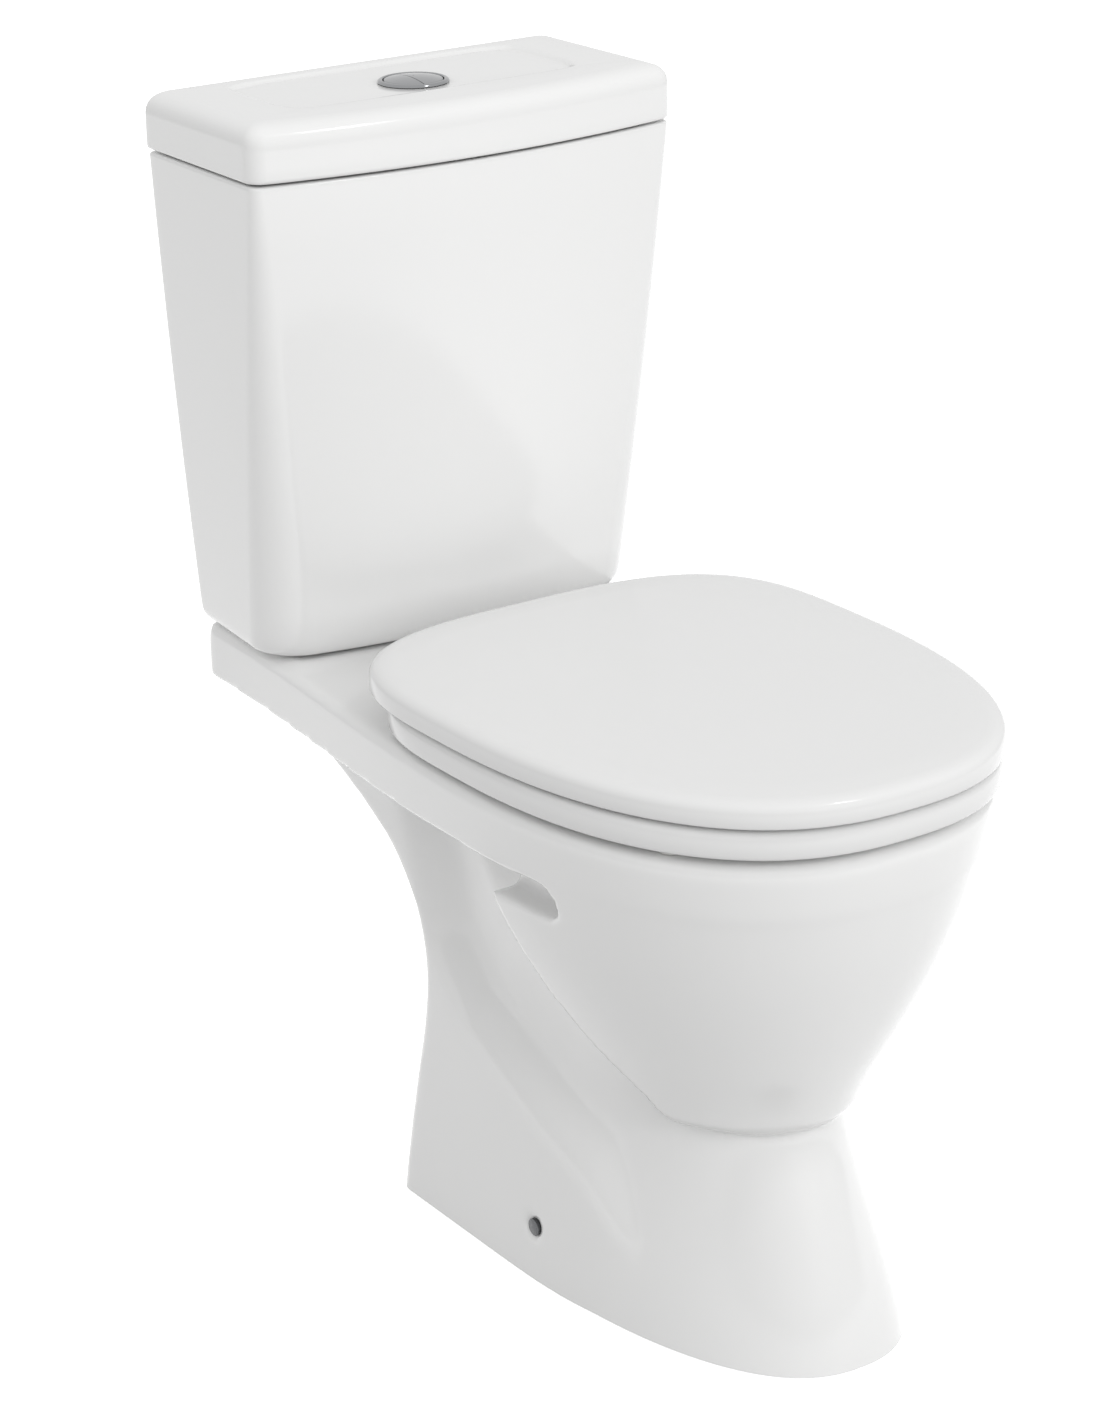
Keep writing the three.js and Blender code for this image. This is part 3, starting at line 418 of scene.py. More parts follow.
def unevenness_group():
    """Slow waves of a cast or moulded surface with a fine orange peel on top, as a height."""
    group, entry, out = new_group(
        "surface_unevenness",
        [("Wave Scale", "NodeSocketFloat", 9.0), ("Peel Scale", "NodeSocketFloat", 260.0),
         ("Peel Share", "NodeSocketFloat", 0.1)],
        [("Height", "NodeSocketFloat")])
    nodes, links = group.nodes, group.links
    coordinates = nodes.new("ShaderNodeTexCoord").outputs["Object"]
    waves = noise(nodes, links, coordinates, entry.outputs["Wave Scale"], 1.0)
    peel = noise(nodes, links, coordinates, entry.outputs["Peel Scale"])
    share = math_node(nodes, links, "MULTIPLY", peel, entry.outputs["Peel Share"])
    links.new(math_node(nodes, links, "ADD", waves, share), out.inputs["Height"])
    return group


def toning_group():
    """A slow drift of tone and gloss over a surface, with scattered finer cloudiness."""
    group, entry, out = new_group(
        "tone_and_gloss",
        [("Light", "NodeSocketColor", (1, 1, 1, 1)), ("Dark", "NodeSocketColor", (0.9, 0.9, 0.9, 1)),
         ("Scale", "NodeSocketFloat", 5.0), ("Gloss Low", "NodeSocketFloat", 0.08),
         ("Gloss High", "NodeSocketFloat", 0.14)],
        [("Color", "NodeSocketColor"), ("Roughness", "NodeSocketFloat")])
    nodes, links = group.nodes, group.links
    coordinates = nodes.new("ShaderNodeTexCoord").outputs["Object"]
    drift = noise(nodes, links, coordinates, entry.outputs["Scale"], 3.0, 0.55)
    blend = nodes.new("ShaderNodeMix")
    blend.data_type = "RGBA"
    links.new(drift, blend.inputs["Factor"])
    links.new(entry.outputs["Light"], blend.inputs["A"])
    links.new(entry.outputs["Dark"], blend.inputs["B"])
    links.new(blend.outputs["Result"], out.inputs["Color"])
    finer = math_node(nodes, links, "MULTIPLY", entry.outputs["Scale"], 7.0)
    cloud = nodes.new("ShaderNodeMapRange")
    links.new(noise(nodes, links, coordinates, finer, 3.0), cloud.inputs["Value"])
    set_inputs(cloud, From_Min=0.3, From_Max=0.7)
    links.new(entry.outputs["Gloss Low"], cloud.inputs["To Min"])
    links.new(entry.outputs["Gloss High"], cloud.inputs["To Max"])
    links.new(cloud.outputs["Result"], out.inputs["Roughness"])
    return group


def brushing_group():
    """Fine turning or brushing lines across an axis, as a height."""
    group, entry, out = new_group(
        "brushed_lines",
        [("Stretch", "NodeSocketVector", (40.0, 40.0, 1200.0))],
        [("Height", "NodeSocketFloat")])
    nodes, links = group.nodes, group.links
    coordinates = nodes.new("ShaderNodeTexCoord").outputs["Object"]
    mapping = nodes.new("ShaderNodeMapping")
    links.new(coordinates, mapping.inputs["Vector"])
    links.new(entry.outputs["Stretch"], mapping.inputs["Scale"])
    links.new(noise(nodes, links, mapping.outputs["Vector"], 1.0), out.inputs["Height"])
    return group


UNEVENNESS = unevenness_group()
TONING = toning_group()
BRUSHING = brushing_group()


def shader(name, light, dark, gloss, tone_scale=5.0, bump=0.05, bump_distance=0.0006, wave_scale=9.0,
           peel_scale=260.0, peel_share=0.1, lines=None, **sockets):
    """A node material: toned colour and gloss, an uneven surface, and plain shader settings."""
    material = bpy.data.materials.new(name)
    material.use_nodes = True
    nodes, links = material.node_tree.nodes, material.node_tree.links
    surface = nodes["Principled BSDF"]
    tone = group_node(nodes, TONING, Light=(*light, 1), Dark=(*dark, 1), Scale=tone_scale,
                      Gloss_Low=gloss[0], Gloss_High=gloss[1])
    links.new(tone.outputs["Color"], surface.inputs["Base Color"])
    links.new(tone.outputs["Roughness"], surface.inputs["Roughness"])
    if lines:
        texture = group_node(nodes, BRUSHING, Stretch=lines)
    else:
        texture = group_node(nodes, UNEVENNESS, Wave_Scale=wave_scale, Peel_Scale=peel_scale,
                             Peel_Share=peel_share)
    height = nodes.new("ShaderNodeBump")
    set_inputs(height, Strength=bump, Distance=bump_distance)
    links.new(texture.outputs["Height"], height.inputs["Height"])
    links.new(height.outputs["Normal"], surface.inputs["Normal"])
    set_inputs(surface, **sockets)
    return material


GLAZE = shader("white_glaze", (0.86, 0.86, 0.855), (0.835, 0.836, 0.832), (0.13, 0.18), tone_scale=3.0,
               bump=0.25, bump_distance=0.0012, wave_scale=7.0, peel_scale=180.0, peel_share=0.03,
               Coat_Weight=0.25, Coat_Roughness=0.1)
SEAT_WHITE = shader("seat_white", (0.8, 0.8, 0.797), (0.785, 0.785, 0.782), (0.13, 0.19), tone_scale=4.0,
                    bump=0.12, bump_distance=0.0006, wave_scale=11.0, peel_scale=420.0, peel_share=0.12)
MOULDED = {"tone_scale": 20.0, "bump_distance": 0.0003, "peel_scale": 900.0, "peel_share": 0.6}
RUBBERY = {"tone_scale": 40.0, "peel_scale": 1400.0, "peel_share": 0.8}
TURNED = {"tone_scale": 60.0, "bump_distance": 0.0002, "lines": (60.0, 60.0, 1500.0), "Metallic": 1.0}
WHITE_PLASTIC = shader("valve_white", (0.78, 0.79, 0.79), (0.72, 0.73, 0.73), (0.34, 0.46),
                       bump=0.3, **MOULDED)
GREY_PLASTIC = shader("valve_grey", (0.3, 0.32, 0.34), (0.25, 0.27, 0.29), (0.38, 0.5),
                      bump=0.35, **MOULDED)
BLUE_PLASTIC = shader("valve_blue", (0.07, 0.2, 0.4), (0.05, 0.16, 0.34), (0.36, 0.48),
                      bump=0.35, **MOULDED)
BLACK_RUBBER = shader("black_rubber", (0.03, 0.03, 0.032), (0.02, 0.02, 0.021), (0.6, 0.8),
                      bump=0.5, bump_distance=0.0004, **RUBBERY)
PALE_RUBBER = shader("pale_rubber", (0.68, 0.68, 0.66), (0.6, 0.6, 0.58), (0.5, 0.66),
                     bump=0.4, bump_distance=0.0003, **RUBBERY)
CHROME = shader("chrome", (0.42, 0.425, 0.435), (0.36, 0.365, 0.375), (0.08, 0.14), tone_scale=30.0,
                bump=0.08, bump_distance=0.0002, wave_scale=40.0, Metallic=1.0)
BRASS = shader("brass", (0.72, 0.55, 0.24), (0.6, 0.44, 0.18), (0.22, 0.36), bump=0.25, **TURNED)
# Steel darkened to near black: painted shade of the side holes, given to the fixing screws that sit deep in
# them.
HOLE_SHADE_STEEL = shader("steel_darkened_as_hole_shade", (0.12, 0.122, 0.126), (0.08, 0.082, 0.086), (0.24, 0.36),
                    bump=0.2, **TURNED)
STEEL = shader("steel", (0.6, 0.61, 0.62), (0.5, 0.51, 0.52), (0.2, 0.34), bump=0.2, **TURNED)


# ---- Pan ----

PAN_NODES = ["pan", "pan_bowl", "pan_casing_front", "pan_casing_back"]
CAST_VOXEL = 3.0
CAST_SMOOTHINGS = 4
CAST_TRIANGLES = 190000
SMALLEST_SHELL = 400  # in points; what is smaller is a stray pocket
CASTING_SHARP, CISTERN_SHARP = 60, 50  # in degrees, above which an edge stays hard
CHINA_WALL = 12
BASIN_WALL = 9
OUTLET_Z = 186
OUTLET_OUTER, OUTLET_INNER = 51, 42
TRAP_OUTER, TRAP_INNER = 42, 32
VALVE_CENTRE, VALVE_RADIUS = (0, -65), 46
SUPPLY_CENTRE, SUPPLY_RADIUS = (108, -50), 20
# Ways and solid places under the deck, as x0, x1, y0, y1, z0, z1.
FLUSH_WAY = (-28, 28, -275, -42, 343, 369)
FLUSH_WAY_WALL = (-40, 40, -275, -30, 331, 381)
VALVE_BOSS = (-56, 56, -122, -16, 335, DECK_Z - 4)
BOLT_POCKET_X, BOLT_POCKET_YZ = (57, 134), (-86, -12, 330, 383)
RIM_ROUNDNESS = 2.4
BAND_FADE = (-400, -475)  # where the rim band's own edge dies out along the bowl

BOWL_BOTTOM_Z = 158
# The bowl's lower lip, where it has not opened out yet.
BOWL_LIP = {"half": 88, "widest": -438, "front": -560, "back": -300}
BOWL_BACK_Y = -215
# How far the bowl has opened out at each height: 0 at its lower lip, 1 at the rim.
BOWL_OPENING = [(158, 0), (173, 0.055), (193, 0.164), (213, 0.291), (233, 0.412), (253, 0.527), (273, 0.63),
                (293, 0.721), (313, 0.8), (333, 0.867), (353, 0.927), (373, 0.972), (392, 1), (400, 1)]


def at_height(pairs, z):
    """The value at z on a smooth curve through [z, value] pairs."""
    heights, values = zip(*pairs)
    slopes = np.gradient(values, heights)
    k = min(max(int(np.searchsorted(heights, z)) - 1, 0), len(heights) - 2)
    width = heights[k + 1] - heights[k]
    t = (z - heights[k]) / width
    return (mix(values[k], values[k + 1], smooth(t)) + (t ** 3 - 2 * t ** 2 + t) * width * slopes[k]
            + (t ** 3 - t ** 2) * width * slopes[k + 1])


def share_between(value, start, end):
    """0 at start and before it, 1 at end and beyond, smoothly between."""
    return smooth(min(max((value - start) / (end - start), 0), 1))


def rim_plan(inset, z):
    """Plan of deck and rim: a square back, sides easing out to the widest line, a round front.

    Towards the front the band has no edge of its own: it is the upper end of the bowl's curve.
    """
    corner = 8
    closed_in = (RIM_HALF - BOWL_LIP["half"]) * (1 - at_height(BOWL_OPENING, z))
    right = back_corner(DECK_BACK_HALF - inset, -inset, corner, 8)
    for i in range(1, 25):
        y = mix(-inset - corner, RIM_WIDEST_Y, i / 24)
        right.append((mix(DECK_BACK_HALF, RIM_HALF, smooth(y / RIM_WIDEST_Y)) - inset, y))
    for i in range(1, 41):
        angle = math.pi / 2 * i / 40
        x = (RIM_HALF - inset) * power(math.cos(angle), 2 / RIM_ROUNDNESS)
        y = RIM_WIDEST_Y + (RIM_TIP_Y + inset - RIM_WIDEST_Y) * power(math.sin(angle), 2 / RIM_ROUNDNESS)
        less = closed_in * share_between(y, *BAND_FADE)
        right.append((x * (1 - less / RIM_HALF), mix(y, RIM_WIDEST_Y, less / (RIM_WIDEST_Y - RIM_TIP_Y))))
    return both_sides(right)


def rim_block(bm):
    """Deck and rim band, with a rounded upper edge."""
    rim_levels = [(BAND_Z, 0), (362, 0), (369, 0), (376, 0), (383, 0), (RIM_Z - 8, 0), (RIM_Z - 4.5, 0.8),
                  (RIM_Z - 2, 2.6), (RIM_Z - 0.5, 5.4), (RIM_Z, 9)]
    loft(bm, [at(z, rim_plan(inset, z)) for z, inset in rim_levels])


def deck_step(bm):
    """The step under the cistern, with a soft slope down to the seat deck."""
    slope = [(RIM_Z - 6, -146, 1), (RIM_Z - 0.2, -145, 1.4), (RIM_Z + 0.6, -139, 3), (DECK_Z - 0.5, -131, 5),
             (DECK_Z, -126, 8)]
    sections = []
    for z, front, inset in slope:
        half = DECK_BACK_HALF - inset - 2
        sections.append([(-half, -inset, z), (-half, front, z), (half, front, z), (half, -inset, z)])
    loft(bm, sections)


def bowl_plan(z, inset):
    """The bowl's outside at a height, from its lower lip to the rim."""
    opened = at_height(BOWL_OPENING, z)
    rim = {"half": RIM_HALF - 0.2, "widest": RIM_WIDEST_Y, "front": RIM_TIP_Y + 0.2, "back": BOWL_BACK_Y}
    egg = {key: mix(BOWL_LIP[key], rim[key], opened) for key in rim}
    egg["front_power"], egg["back_power"] = mix(2, RIM_ROUNDNESS, opened), RIM_ROUNDNESS
    return egg_plan(egg, z, inset)


def bowl_body(bm):
    """The bowl's outside, from its soft lower lip to under the rim."""
    levels = [BOWL_BOTTOM_Z + 0.5, 160, 163, 168] + list(range(178, 389, 8))
    insets = [14, 7, 2.5, 0.5] + [0.3] * (len(levels) - 4)
    loft(bm, [bowl_plan(z, inset) for z, inset in zip(levels, insets)])


# The rear edge of the bowl's cheeks, from the rim down, as [y, z].
CHEEK_EDGE = [(-366, 410), (-388, 360), (-402, 320), (-413, 287), (-427, 255), (-442, 227), (-463, 198),
              (-481, 178), (-492, 162), (-500, 140)]


def behind_cheeks(bm):
    """The space behind the bowl's rear edge."""
    outline = CHEEK_EDGE + [(-180, 140), (-180, 410)]
    loft(bm, [[(x, y, z) for y, z in outline] for x in (-200, 200)])


# Half width, back, front and widest line of the pedestal at each height, as [z, value].
PEDESTAL_HALF = [(-8, 115.4), (0, 114.7), (50, 110), (100, 106), (150, 103), (200, 102), (250, 103),
                 (300, 108), (340, 118), (390, 126)]
PEDESTAL_BACK = [(-8, -195.5), (0, -196), (50, -200), (100, -207), (142, -214), (180, -216), (210, -211),
                 (240, -198), (270, -174), (300, -132), (315, -110), (340, -92), (390, -88)]
PEDESTAL_FRONT = [(-8, -520), (0, -520), (142, -522), (200, -528), (260, -540), (390, -540)]
PEDESTAL_WIDEST = [(-8, -316), (150, -316), (200, -365), (260, -425), (390, -425)]
# How much wider than its back the pedestal is beside the bowl.
PEDESTAL_FLARE = [(-8, 0), (240, 0), (300, 0.04), (352, 0.12), (390, 0.12)]
FLARE_REACH = (-280, -400)
PEDESTAL_SQUARENESS = 3.2

# Deepest line of the hollow in each side of the pedestal, from the deck down: [y, z, depth].
SIDE_VALLEY = [(-246, 420, 12), (-254, 300, 17), (-266, 231, 18), (-302, 194, 18), (-346, 175, 18),
               (-384, 158, 18), (-438, 137, 17), (-478, 106, 15)]
HOLLOW_REACH = 54  # where the hollow fades out, towards the foot
HOLLOW_REACH_TO_BOWL = 140
# The corner before the foot: how far it goes in, and over which y and z.
FOOT_CORNER = {"depth": 24, "y": (-466, -492), "z": (30, 100)}


def nearest_on(line, y, z):
    """Distance to the nearest point of a [y, z, depth] line, whether it lies above it, and its depth."""
    best = (1e9, False, 0)
    for (y0, z0, depth0), (y1, z1, depth1) in zip(line, line[1:]):
        run_y, run_z = y1 - y0, z1 - z0
        t = min(max(((y - y0) * run_y + (z - z0) * run_z) / (run_y ** 2 + run_z ** 2), 0), 1)
        off_y, off_z = y - mix(y0, y1, t), z - mix(z0, z1, t)
        above = run_y * off_z - run_z * off_y < 0
        best = min(best, (math.hypot(off_y, off_z), above, mix(depth0, depth1, t)))
    return best


def relief(y, z):
    """How far the pedestal's side lies inside its plain outline: the hollow, and a corner before the foot."""
    distance, towards_bowl, depth = nearest_on(SIDE_VALLEY, y, z)
    reach = HOLLOW_REACH_TO_BOWL if towards_bowl else HOLLOW_REACH
    corner = FOOT_CORNER["depth"] * share_between(y, *FOOT_CORNER["y"]) * share_between(z, *FOOT_CORNER["z"])
    return max(depth * (1 - share_between(distance, 0, reach)), corner)


def carved(plan, z):
    """A plan with the side relief taken off it."""
    return [(math.copysign(max(abs(x) - relief(y, z), 0.4 * abs(x)), x), y) for x, y in plan]


def pedestal_plan(z, inset):
    """The pedestal at a height: flat sides with the hollow in them, and a squarish nose."""
    half = at_height(PEDESTAL_HALF, z) - inset
    back = at_height(PEDESTAL_BACK, z) - inset
    front = at_height(PEDESTAL_FRONT, z) + inset
    flare = at_height(PEDESTAL_FLARE, z)
    shoulder = at_height(PEDESTAL_WIDEST, z)
    corner, side_steps, nose_steps = 12, 20, 52
    right = back_corner(half, back, corner, 8)
    right += [(half, mix(back - corner, shoulder, i / side_steps)) for i in range(1, side_steps)]
    for i in range(nose_steps + 1):
        angle = math.pi / 2 * (i / nose_steps) ** 1.5
        right.append((half * power(math.cos(angle), 2 / PEDESTAL_SQUARENESS),
                      shoulder + (front - shoulder) * power(math.sin(angle), 2 / PEDESTAL_SQUARENESS)))
    right = [(x * (1 + flare * share_between(y, *FLARE_REACH)), y) for x, y in right]
    return at(z, carved(both_sides(right), z))


def pedestal_body(bm, inset, levels):
    """The pedestal from level to level, smaller by the inset."""
    loft(bm, [pedestal_plan(z, inset) for z in levels])


# Height, half width, widest line, front and squareness of the foot.
FOOT_LEVELS = [(-8, 115.5, -311, -610, 2.36), (0, 113.7, -316, -608.3, 2.35), (30, 106, -335, -601, 2.3),
               (70, 95, -365, -587, 2.2), (110, 84, -395, -571, 2.1), (150, 75, -430, -553, 2),
               (180, 70, -435, -547, 2), (200, 66, -435, -540, 2)]


def measures_at(levels, z):
    """The measures at z, from rows of a height and its measures."""
    heights, *columns = zip(*levels)
    return [at_height(list(zip(heights, column)), z) for column in columns]


def foot_plan(z, inset):
    """The foot at a height: an egg that narrows as it rises under the bowl."""
    half, widest, front, squareness = measures_at(FOOT_LEVELS, z)
    egg = dict(zip(EGG_KEYS, (half, widest, front, widest + 100, squareness, 2.4)))
    return egg_plan(egg, z, inset)


def foot_body(bm, inset, levels):
    """The foot from level to level, smaller by the inset."""
    loft(bm, [foot_plan(z, inset) for z in levels])


# Height, half width, widest line, front and back of the inside of the bowl.
BOWL_INSIDE = [(42, 20, -340, -362, -322), (56, 34, -342, -378, -310), (90, 40, -345, -390, -306),
               (140, 44, -352, -404, -304), (190, 58, -375, -468, -296), (240, 84, -392, -520, -282),
               (300, 98, -405, -562, -268), (352, 118, -412, -580, -262), (RIM_Z + 3, 116, -410, -578, -264)]


def bowl_space(bm, inset=0, top=RIM_Z + 3):
    """The inside of the bowl, smaller by the inset; a negative one takes its wall in."""
    sections = []
    for z in [BOWL_INSIDE[0][0] + inset, *range(50, 384, 12), top]:
        egg = dict(zip(EGG_KEYS, (*measures_at(BOWL_INSIDE, z), 2.2, 2.2)))
        sections.append(egg_plan(egg, z, inset, 96))
    loft(bm, sections)


# The trap's middle line from the sump to the outlet, as [y, z].
TRAP_ROUTE = [(-352, 82), (-322, 70), (-288, 92), (-260, 138), (-228, 178), (-190, OUTLET_Z),
              (-154, OUTLET_Z)]


def trap_route(steps=40):
    """Points along the trap's middle line."""
    numbered = [(k, y, z) for k, (y, z) in enumerate(TRAP_ROUTE)]
    return [measures_at(numbered, i / steps * (len(TRAP_ROUTE) - 1)) for i in range(steps + 1)]


def trap_tube(bm, radius, sides=40):
    """A tube along the trap's middle line."""
    route = trap_route()
    sections = []
    for i, (y, z) in enumerate(route):
        y0, z0 = route[max(i - 1, 0)]
        y1, z1 = route[min(i + 1, len(route) - 1)]
        length = math.hypot(y1 - y0, z1 - z0)
        side_y, side_z = -(z1 - z0) / length, (y1 - y0) / length
        around = [2 * math.pi * k / sides for k in range(sides)]
        sections.append([(radius * math.cos(a), y + side_y * radius * math.sin(a),
                          z + side_z * radius * math.sin(a)) for a in around])
    loft(bm, sections)


def side_slot(bm, side):
    """The grip slot under the rim, round at its front end."""
    z, radius, back, front = 336.5, 14, -338, -463
    outline = [(back, z - radius), (back, z + radius), (front, z + radius)]
    outline += [(front - radius * math.sin(math.pi * i / 12), z + radius * math.cos(math.pi * i / 12))
                for i in range(1, 12)]
    outline.append((front, z - radius))
    loft(bm, [[(side * x, y, h) for y, h in outline] for x in (134, 191)])


def outlet_rod(bm, back_y, front_y, radius):
    """A level cylinder on the outlet's middle line."""
    cylinder(bm, (0, back_y, OUTLET_Z), (0, front_y, OUTLET_Z), radius, 64)


def fixing_rod(bm, inner, outer, radius, segments):
    """A level cylinder on the line of the floor fixing, through one side of the foot."""
    y, z = SIDE_HOLE["y"], SIDE_HOLE["z"]
    cylinder(bm, (inner, y, z), (outer, y, z), radius, segments)


def casting_hollow():
    """The open space inside pedestal and foot, outside the bowl's and trap's own walls."""
    hollow = solid_object("hollow", lambda bm: pedestal_body(bm, CHINA_WALL, range(-8, 384, 8)))
    combine_all(hollow, "UNION", (foot_body, CHINA_WALL, range(-8, 200, 16)))
    combine_all(hollow, "DIFFERENCE", (bowl_space, -CHINA_WALL), (trap_tube, TRAP_OUTER),
                (outlet_rod, -260, -150, OUTLET_OUTER), (block, *FLUSH_WAY_WALL))
    return hollow


def build_pan():
    """One casting: rim and deck, bowl, pedestal, foot and outlet, with all its openings."""
    pan = solid_object("pan_body", bowl_body)
    combine_all(pan, "DIFFERENCE", (behind_cheeks,))
    combine_all(pan, "UNION", (rim_block,), (deck_step,), (pedestal_body, 0, range(-8, 391, 6)),
                (foot_body, 0, range(-8, 201, 13)), (bowl_space, -BASIN_WALL, RIM_Z - 6),
                (block, *VALVE_BOSS), (outlet_rod, -240, -150, OUTLET_OUTER))
    combine(pan, casting_hollow(), "DIFFERENCE")

    holes = [(outlet_rod, -212, -140, OUTLET_INNER), (upright_rod, VALVE_CENTRE, 369, 410, VALVE_RADIUS, 64),
             (upright_rod, SUPPLY_CENTRE, 370, 410, SUPPLY_RADIUS, 40)]
    for side in (-1, 1):
        holes += [(side_slot, side), (fixing_rod, side * 106, side * 130, SIDE_HOLE["head"], 40),
                  (fixing_rod, side * 80, side * 110, SIDE_HOLE["screw"], 24),
                  (block, *across(side, *BOLT_POCKET_X), *BOLT_POCKET_YZ),
                  (upright_rod, (side * HINGE["x"], HINGE["y"]), 370, 405, HINGE["bore"], 24)]
    holes += [(bowl_space,), (trap_tube, TRAP_INNER), (block, *FLUSH_WAY)]
    combine_all(pan, "DIFFERENCE", *holes)
    return pan


def drop_crumbs(bm):
    """Takes away the tiny closed pockets that fusing leaves between solids."""
    left = set(bm.verts)
    while left:
        start = left.pop()
        island, edge = [start], [start]
        while edge:
            for link in edge.pop().link_edges:
                for vert in link.verts:
                    if vert in left:
                        left.remove(vert)
                        island.append(vert)
                        edge.append(vert)
        if len(island) < SMALLEST_SHELL:
            bmesh.ops.delete(bm, geom=island, context="VERTS")


def finish_pan(pan):
    """Rounds every edge of the casting as the glaze does, then trims it flat on the floor."""
    remesh = pan.modifiers.new("casting", "REMESH")
    remesh.mode = "VOXEL"
    remesh.voxel_size = CAST_VOXEL * MM
    apply_modifiers(pan)
    bm = bmesh_of(pan.data)
    for _ in range(CAST_SMOOTHINGS):
        bmesh.ops.smooth_vert(bm, verts=bm.verts, factor=0.5,
                              use_axis_x=True, use_axis_y=True, use_axis_z=True)
    bmesh.ops.triangle_fill(bm, edges=cut_flat(bm, (0, 0, 0), (0, 0, -1)), use_beauty=True)
    drop_crumbs(bm)
    bm.to_mesh(pan.data)
    bm.free()
    thin = pan.modifiers.new("thin", "DECIMATE")
    thin.ratio = min(1, CAST_TRIANGLES / sum(len(p.vertices) - 2 for p in pan.data.polygons))
    apply_modifiers(pan)
    bm = bmesh_of(pan.data)
    bpy.data.meshes.remove(pan.data)
    make("china_pan", bm, GLAZE, "fixed_body", PAN_NODES, CASTING_SHARP)


finish_pan(build_pan())


# ---- Cistern and its lid ----


def build_cistern():
    """An open china box: rounded below, tapering, with a plain rim under the lid."""
    floor = CISTERN_FLOOR_Z + 14
    foot = ((0, 7), (0.7, 4.2), (2.2, 2.2), (5, 0.9), (9, 0.2), (14, 0))
    outside = [(CISTERN_FLOOR_Z + rise, inset) for rise, inset in foot]
    outside += [(z, 0) for z in range(430, 750, 40)]
    outside += [(SEAM_Z - 4, 0), (SEAM_Z - 2.2, 0.2), (SEAM_Z - 1.1, 0.9), (SEAM_Z - 0.6, 2.2)]
    inside = ((SEAM_Z - 0.6, -2), (SEAM_Z - 1.3, -0.6), (SEAM_Z - 3, 0), (600, 0), (floor + 16, 0),
              (floor + 8, 1.5), (floor + 2.5, 5), (floor, 12))
    levels = outside + [(z, CISTERN_WALL + extra) for z, extra in inside]
    bm = bmesh.new()
    loft(bm, [cistern_at(z, inset) for z, inset in levels])
    make("china_cistern", bm, GLAZE, "fixed_body", ["cistern"], CISTERN_SHARP)


LID_SIZE = {**CISTERN_TOP, "corner": CISTERN_TOP["corner"] + 4}
LID_OVERHANG = 1.6
LID_SKIRT_Z = SEAM_Z + 1.4


def lid_plan(z, inset, back_inset=None):
    """The cistern lid's plan at a height, with its own inset at the back where one is given."""
    back_inset = inset if back_inset is None else back_inset
    return at(z, cistern_plan(LID_SIZE, inset - LID_OVERHANG, back_inset))


def build_cistern_lid():
    """A cap with a broad soft shoulder, a shallow panel in its top and a locating rib below."""
    skirt = [(LID_SKIRT_Z, 3, 3), (LID_SKIRT_Z + 0.4, 1.2, 1.2), (LID_SKIRT_Z + 1.4, 0.3, 0.3),
             (LID_SKIRT_Z + 3, 0, 0), (770, 0, 0), (782, 0, 0)]
    shoulder = [(786, 0.15, 0), (789.5, 0.8, 0.2), (792.6, 2.2, 0.7), (795.2, 4.4, 1.5), (797.3, 7.6, 2.5),
                (798.7, 11.4, 3.6), (799.4, 15.4, 4.8), (LID_TOP_Z, 19, 6)]
    outer = [lid_plan(*level) for level in skirt + shoulder]
    border = outer[-1]
    panel = rounded_rectangle(122, -15.5, -121)
    top = [along_rays(panel, border, BUTTON, z, shift)
           for z, shift in ((LID_TOP_Z, 4), (LID_TOP_Z - 0.15, 1.6), (LID_TOP_Z - 0.9, -0.6),
                            (PANEL_Z + 0.5, -2.6), (PANEL_Z + 0.1, -4.8), (PANEL_Z, -7.5))]
    hole = circle_outline(BUTTON, 23.8)
    rim = [along_rays(hole, border, BUTTON, z, shift)
           for z, shift in ((PANEL_Z, 12), (PANEL_Z, 2), (PANEL_Z - 0.4, 0.4), (PANEL_Z - 1.2, 0), (788, 0),
                            (787.5, 0.5), (787.5, 8))]
    rib_in, rib_out = lid_plan(787.5, 22), lid_plan(787.5, 16)
    below = [rib_in, lid_plan(752, 22), lid_plan(750, 20.6), lid_plan(750, 17.4), lid_plan(752, 16), rib_out,
             lid_plan(785.5, 15), lid_plan(780, CISTERN_WALL + 1), lid_plan(LID_SKIRT_Z + 2, CISTERN_WALL),
             lid_plan(LID_SKIRT_Z + 0.3, CISTERN_WALL - 1), lid_plan(LID_SKIRT_Z, CISTERN_WALL - 3)]
    bm = bmesh.new()
    loft(bm, outer + top + rim + below, closed=True)
    make("china_cistern_lid", bm, GLAZE, "cistern_cover", ["cistern_lid"], CISTERN_SHARP)


# ---- Flush button ----


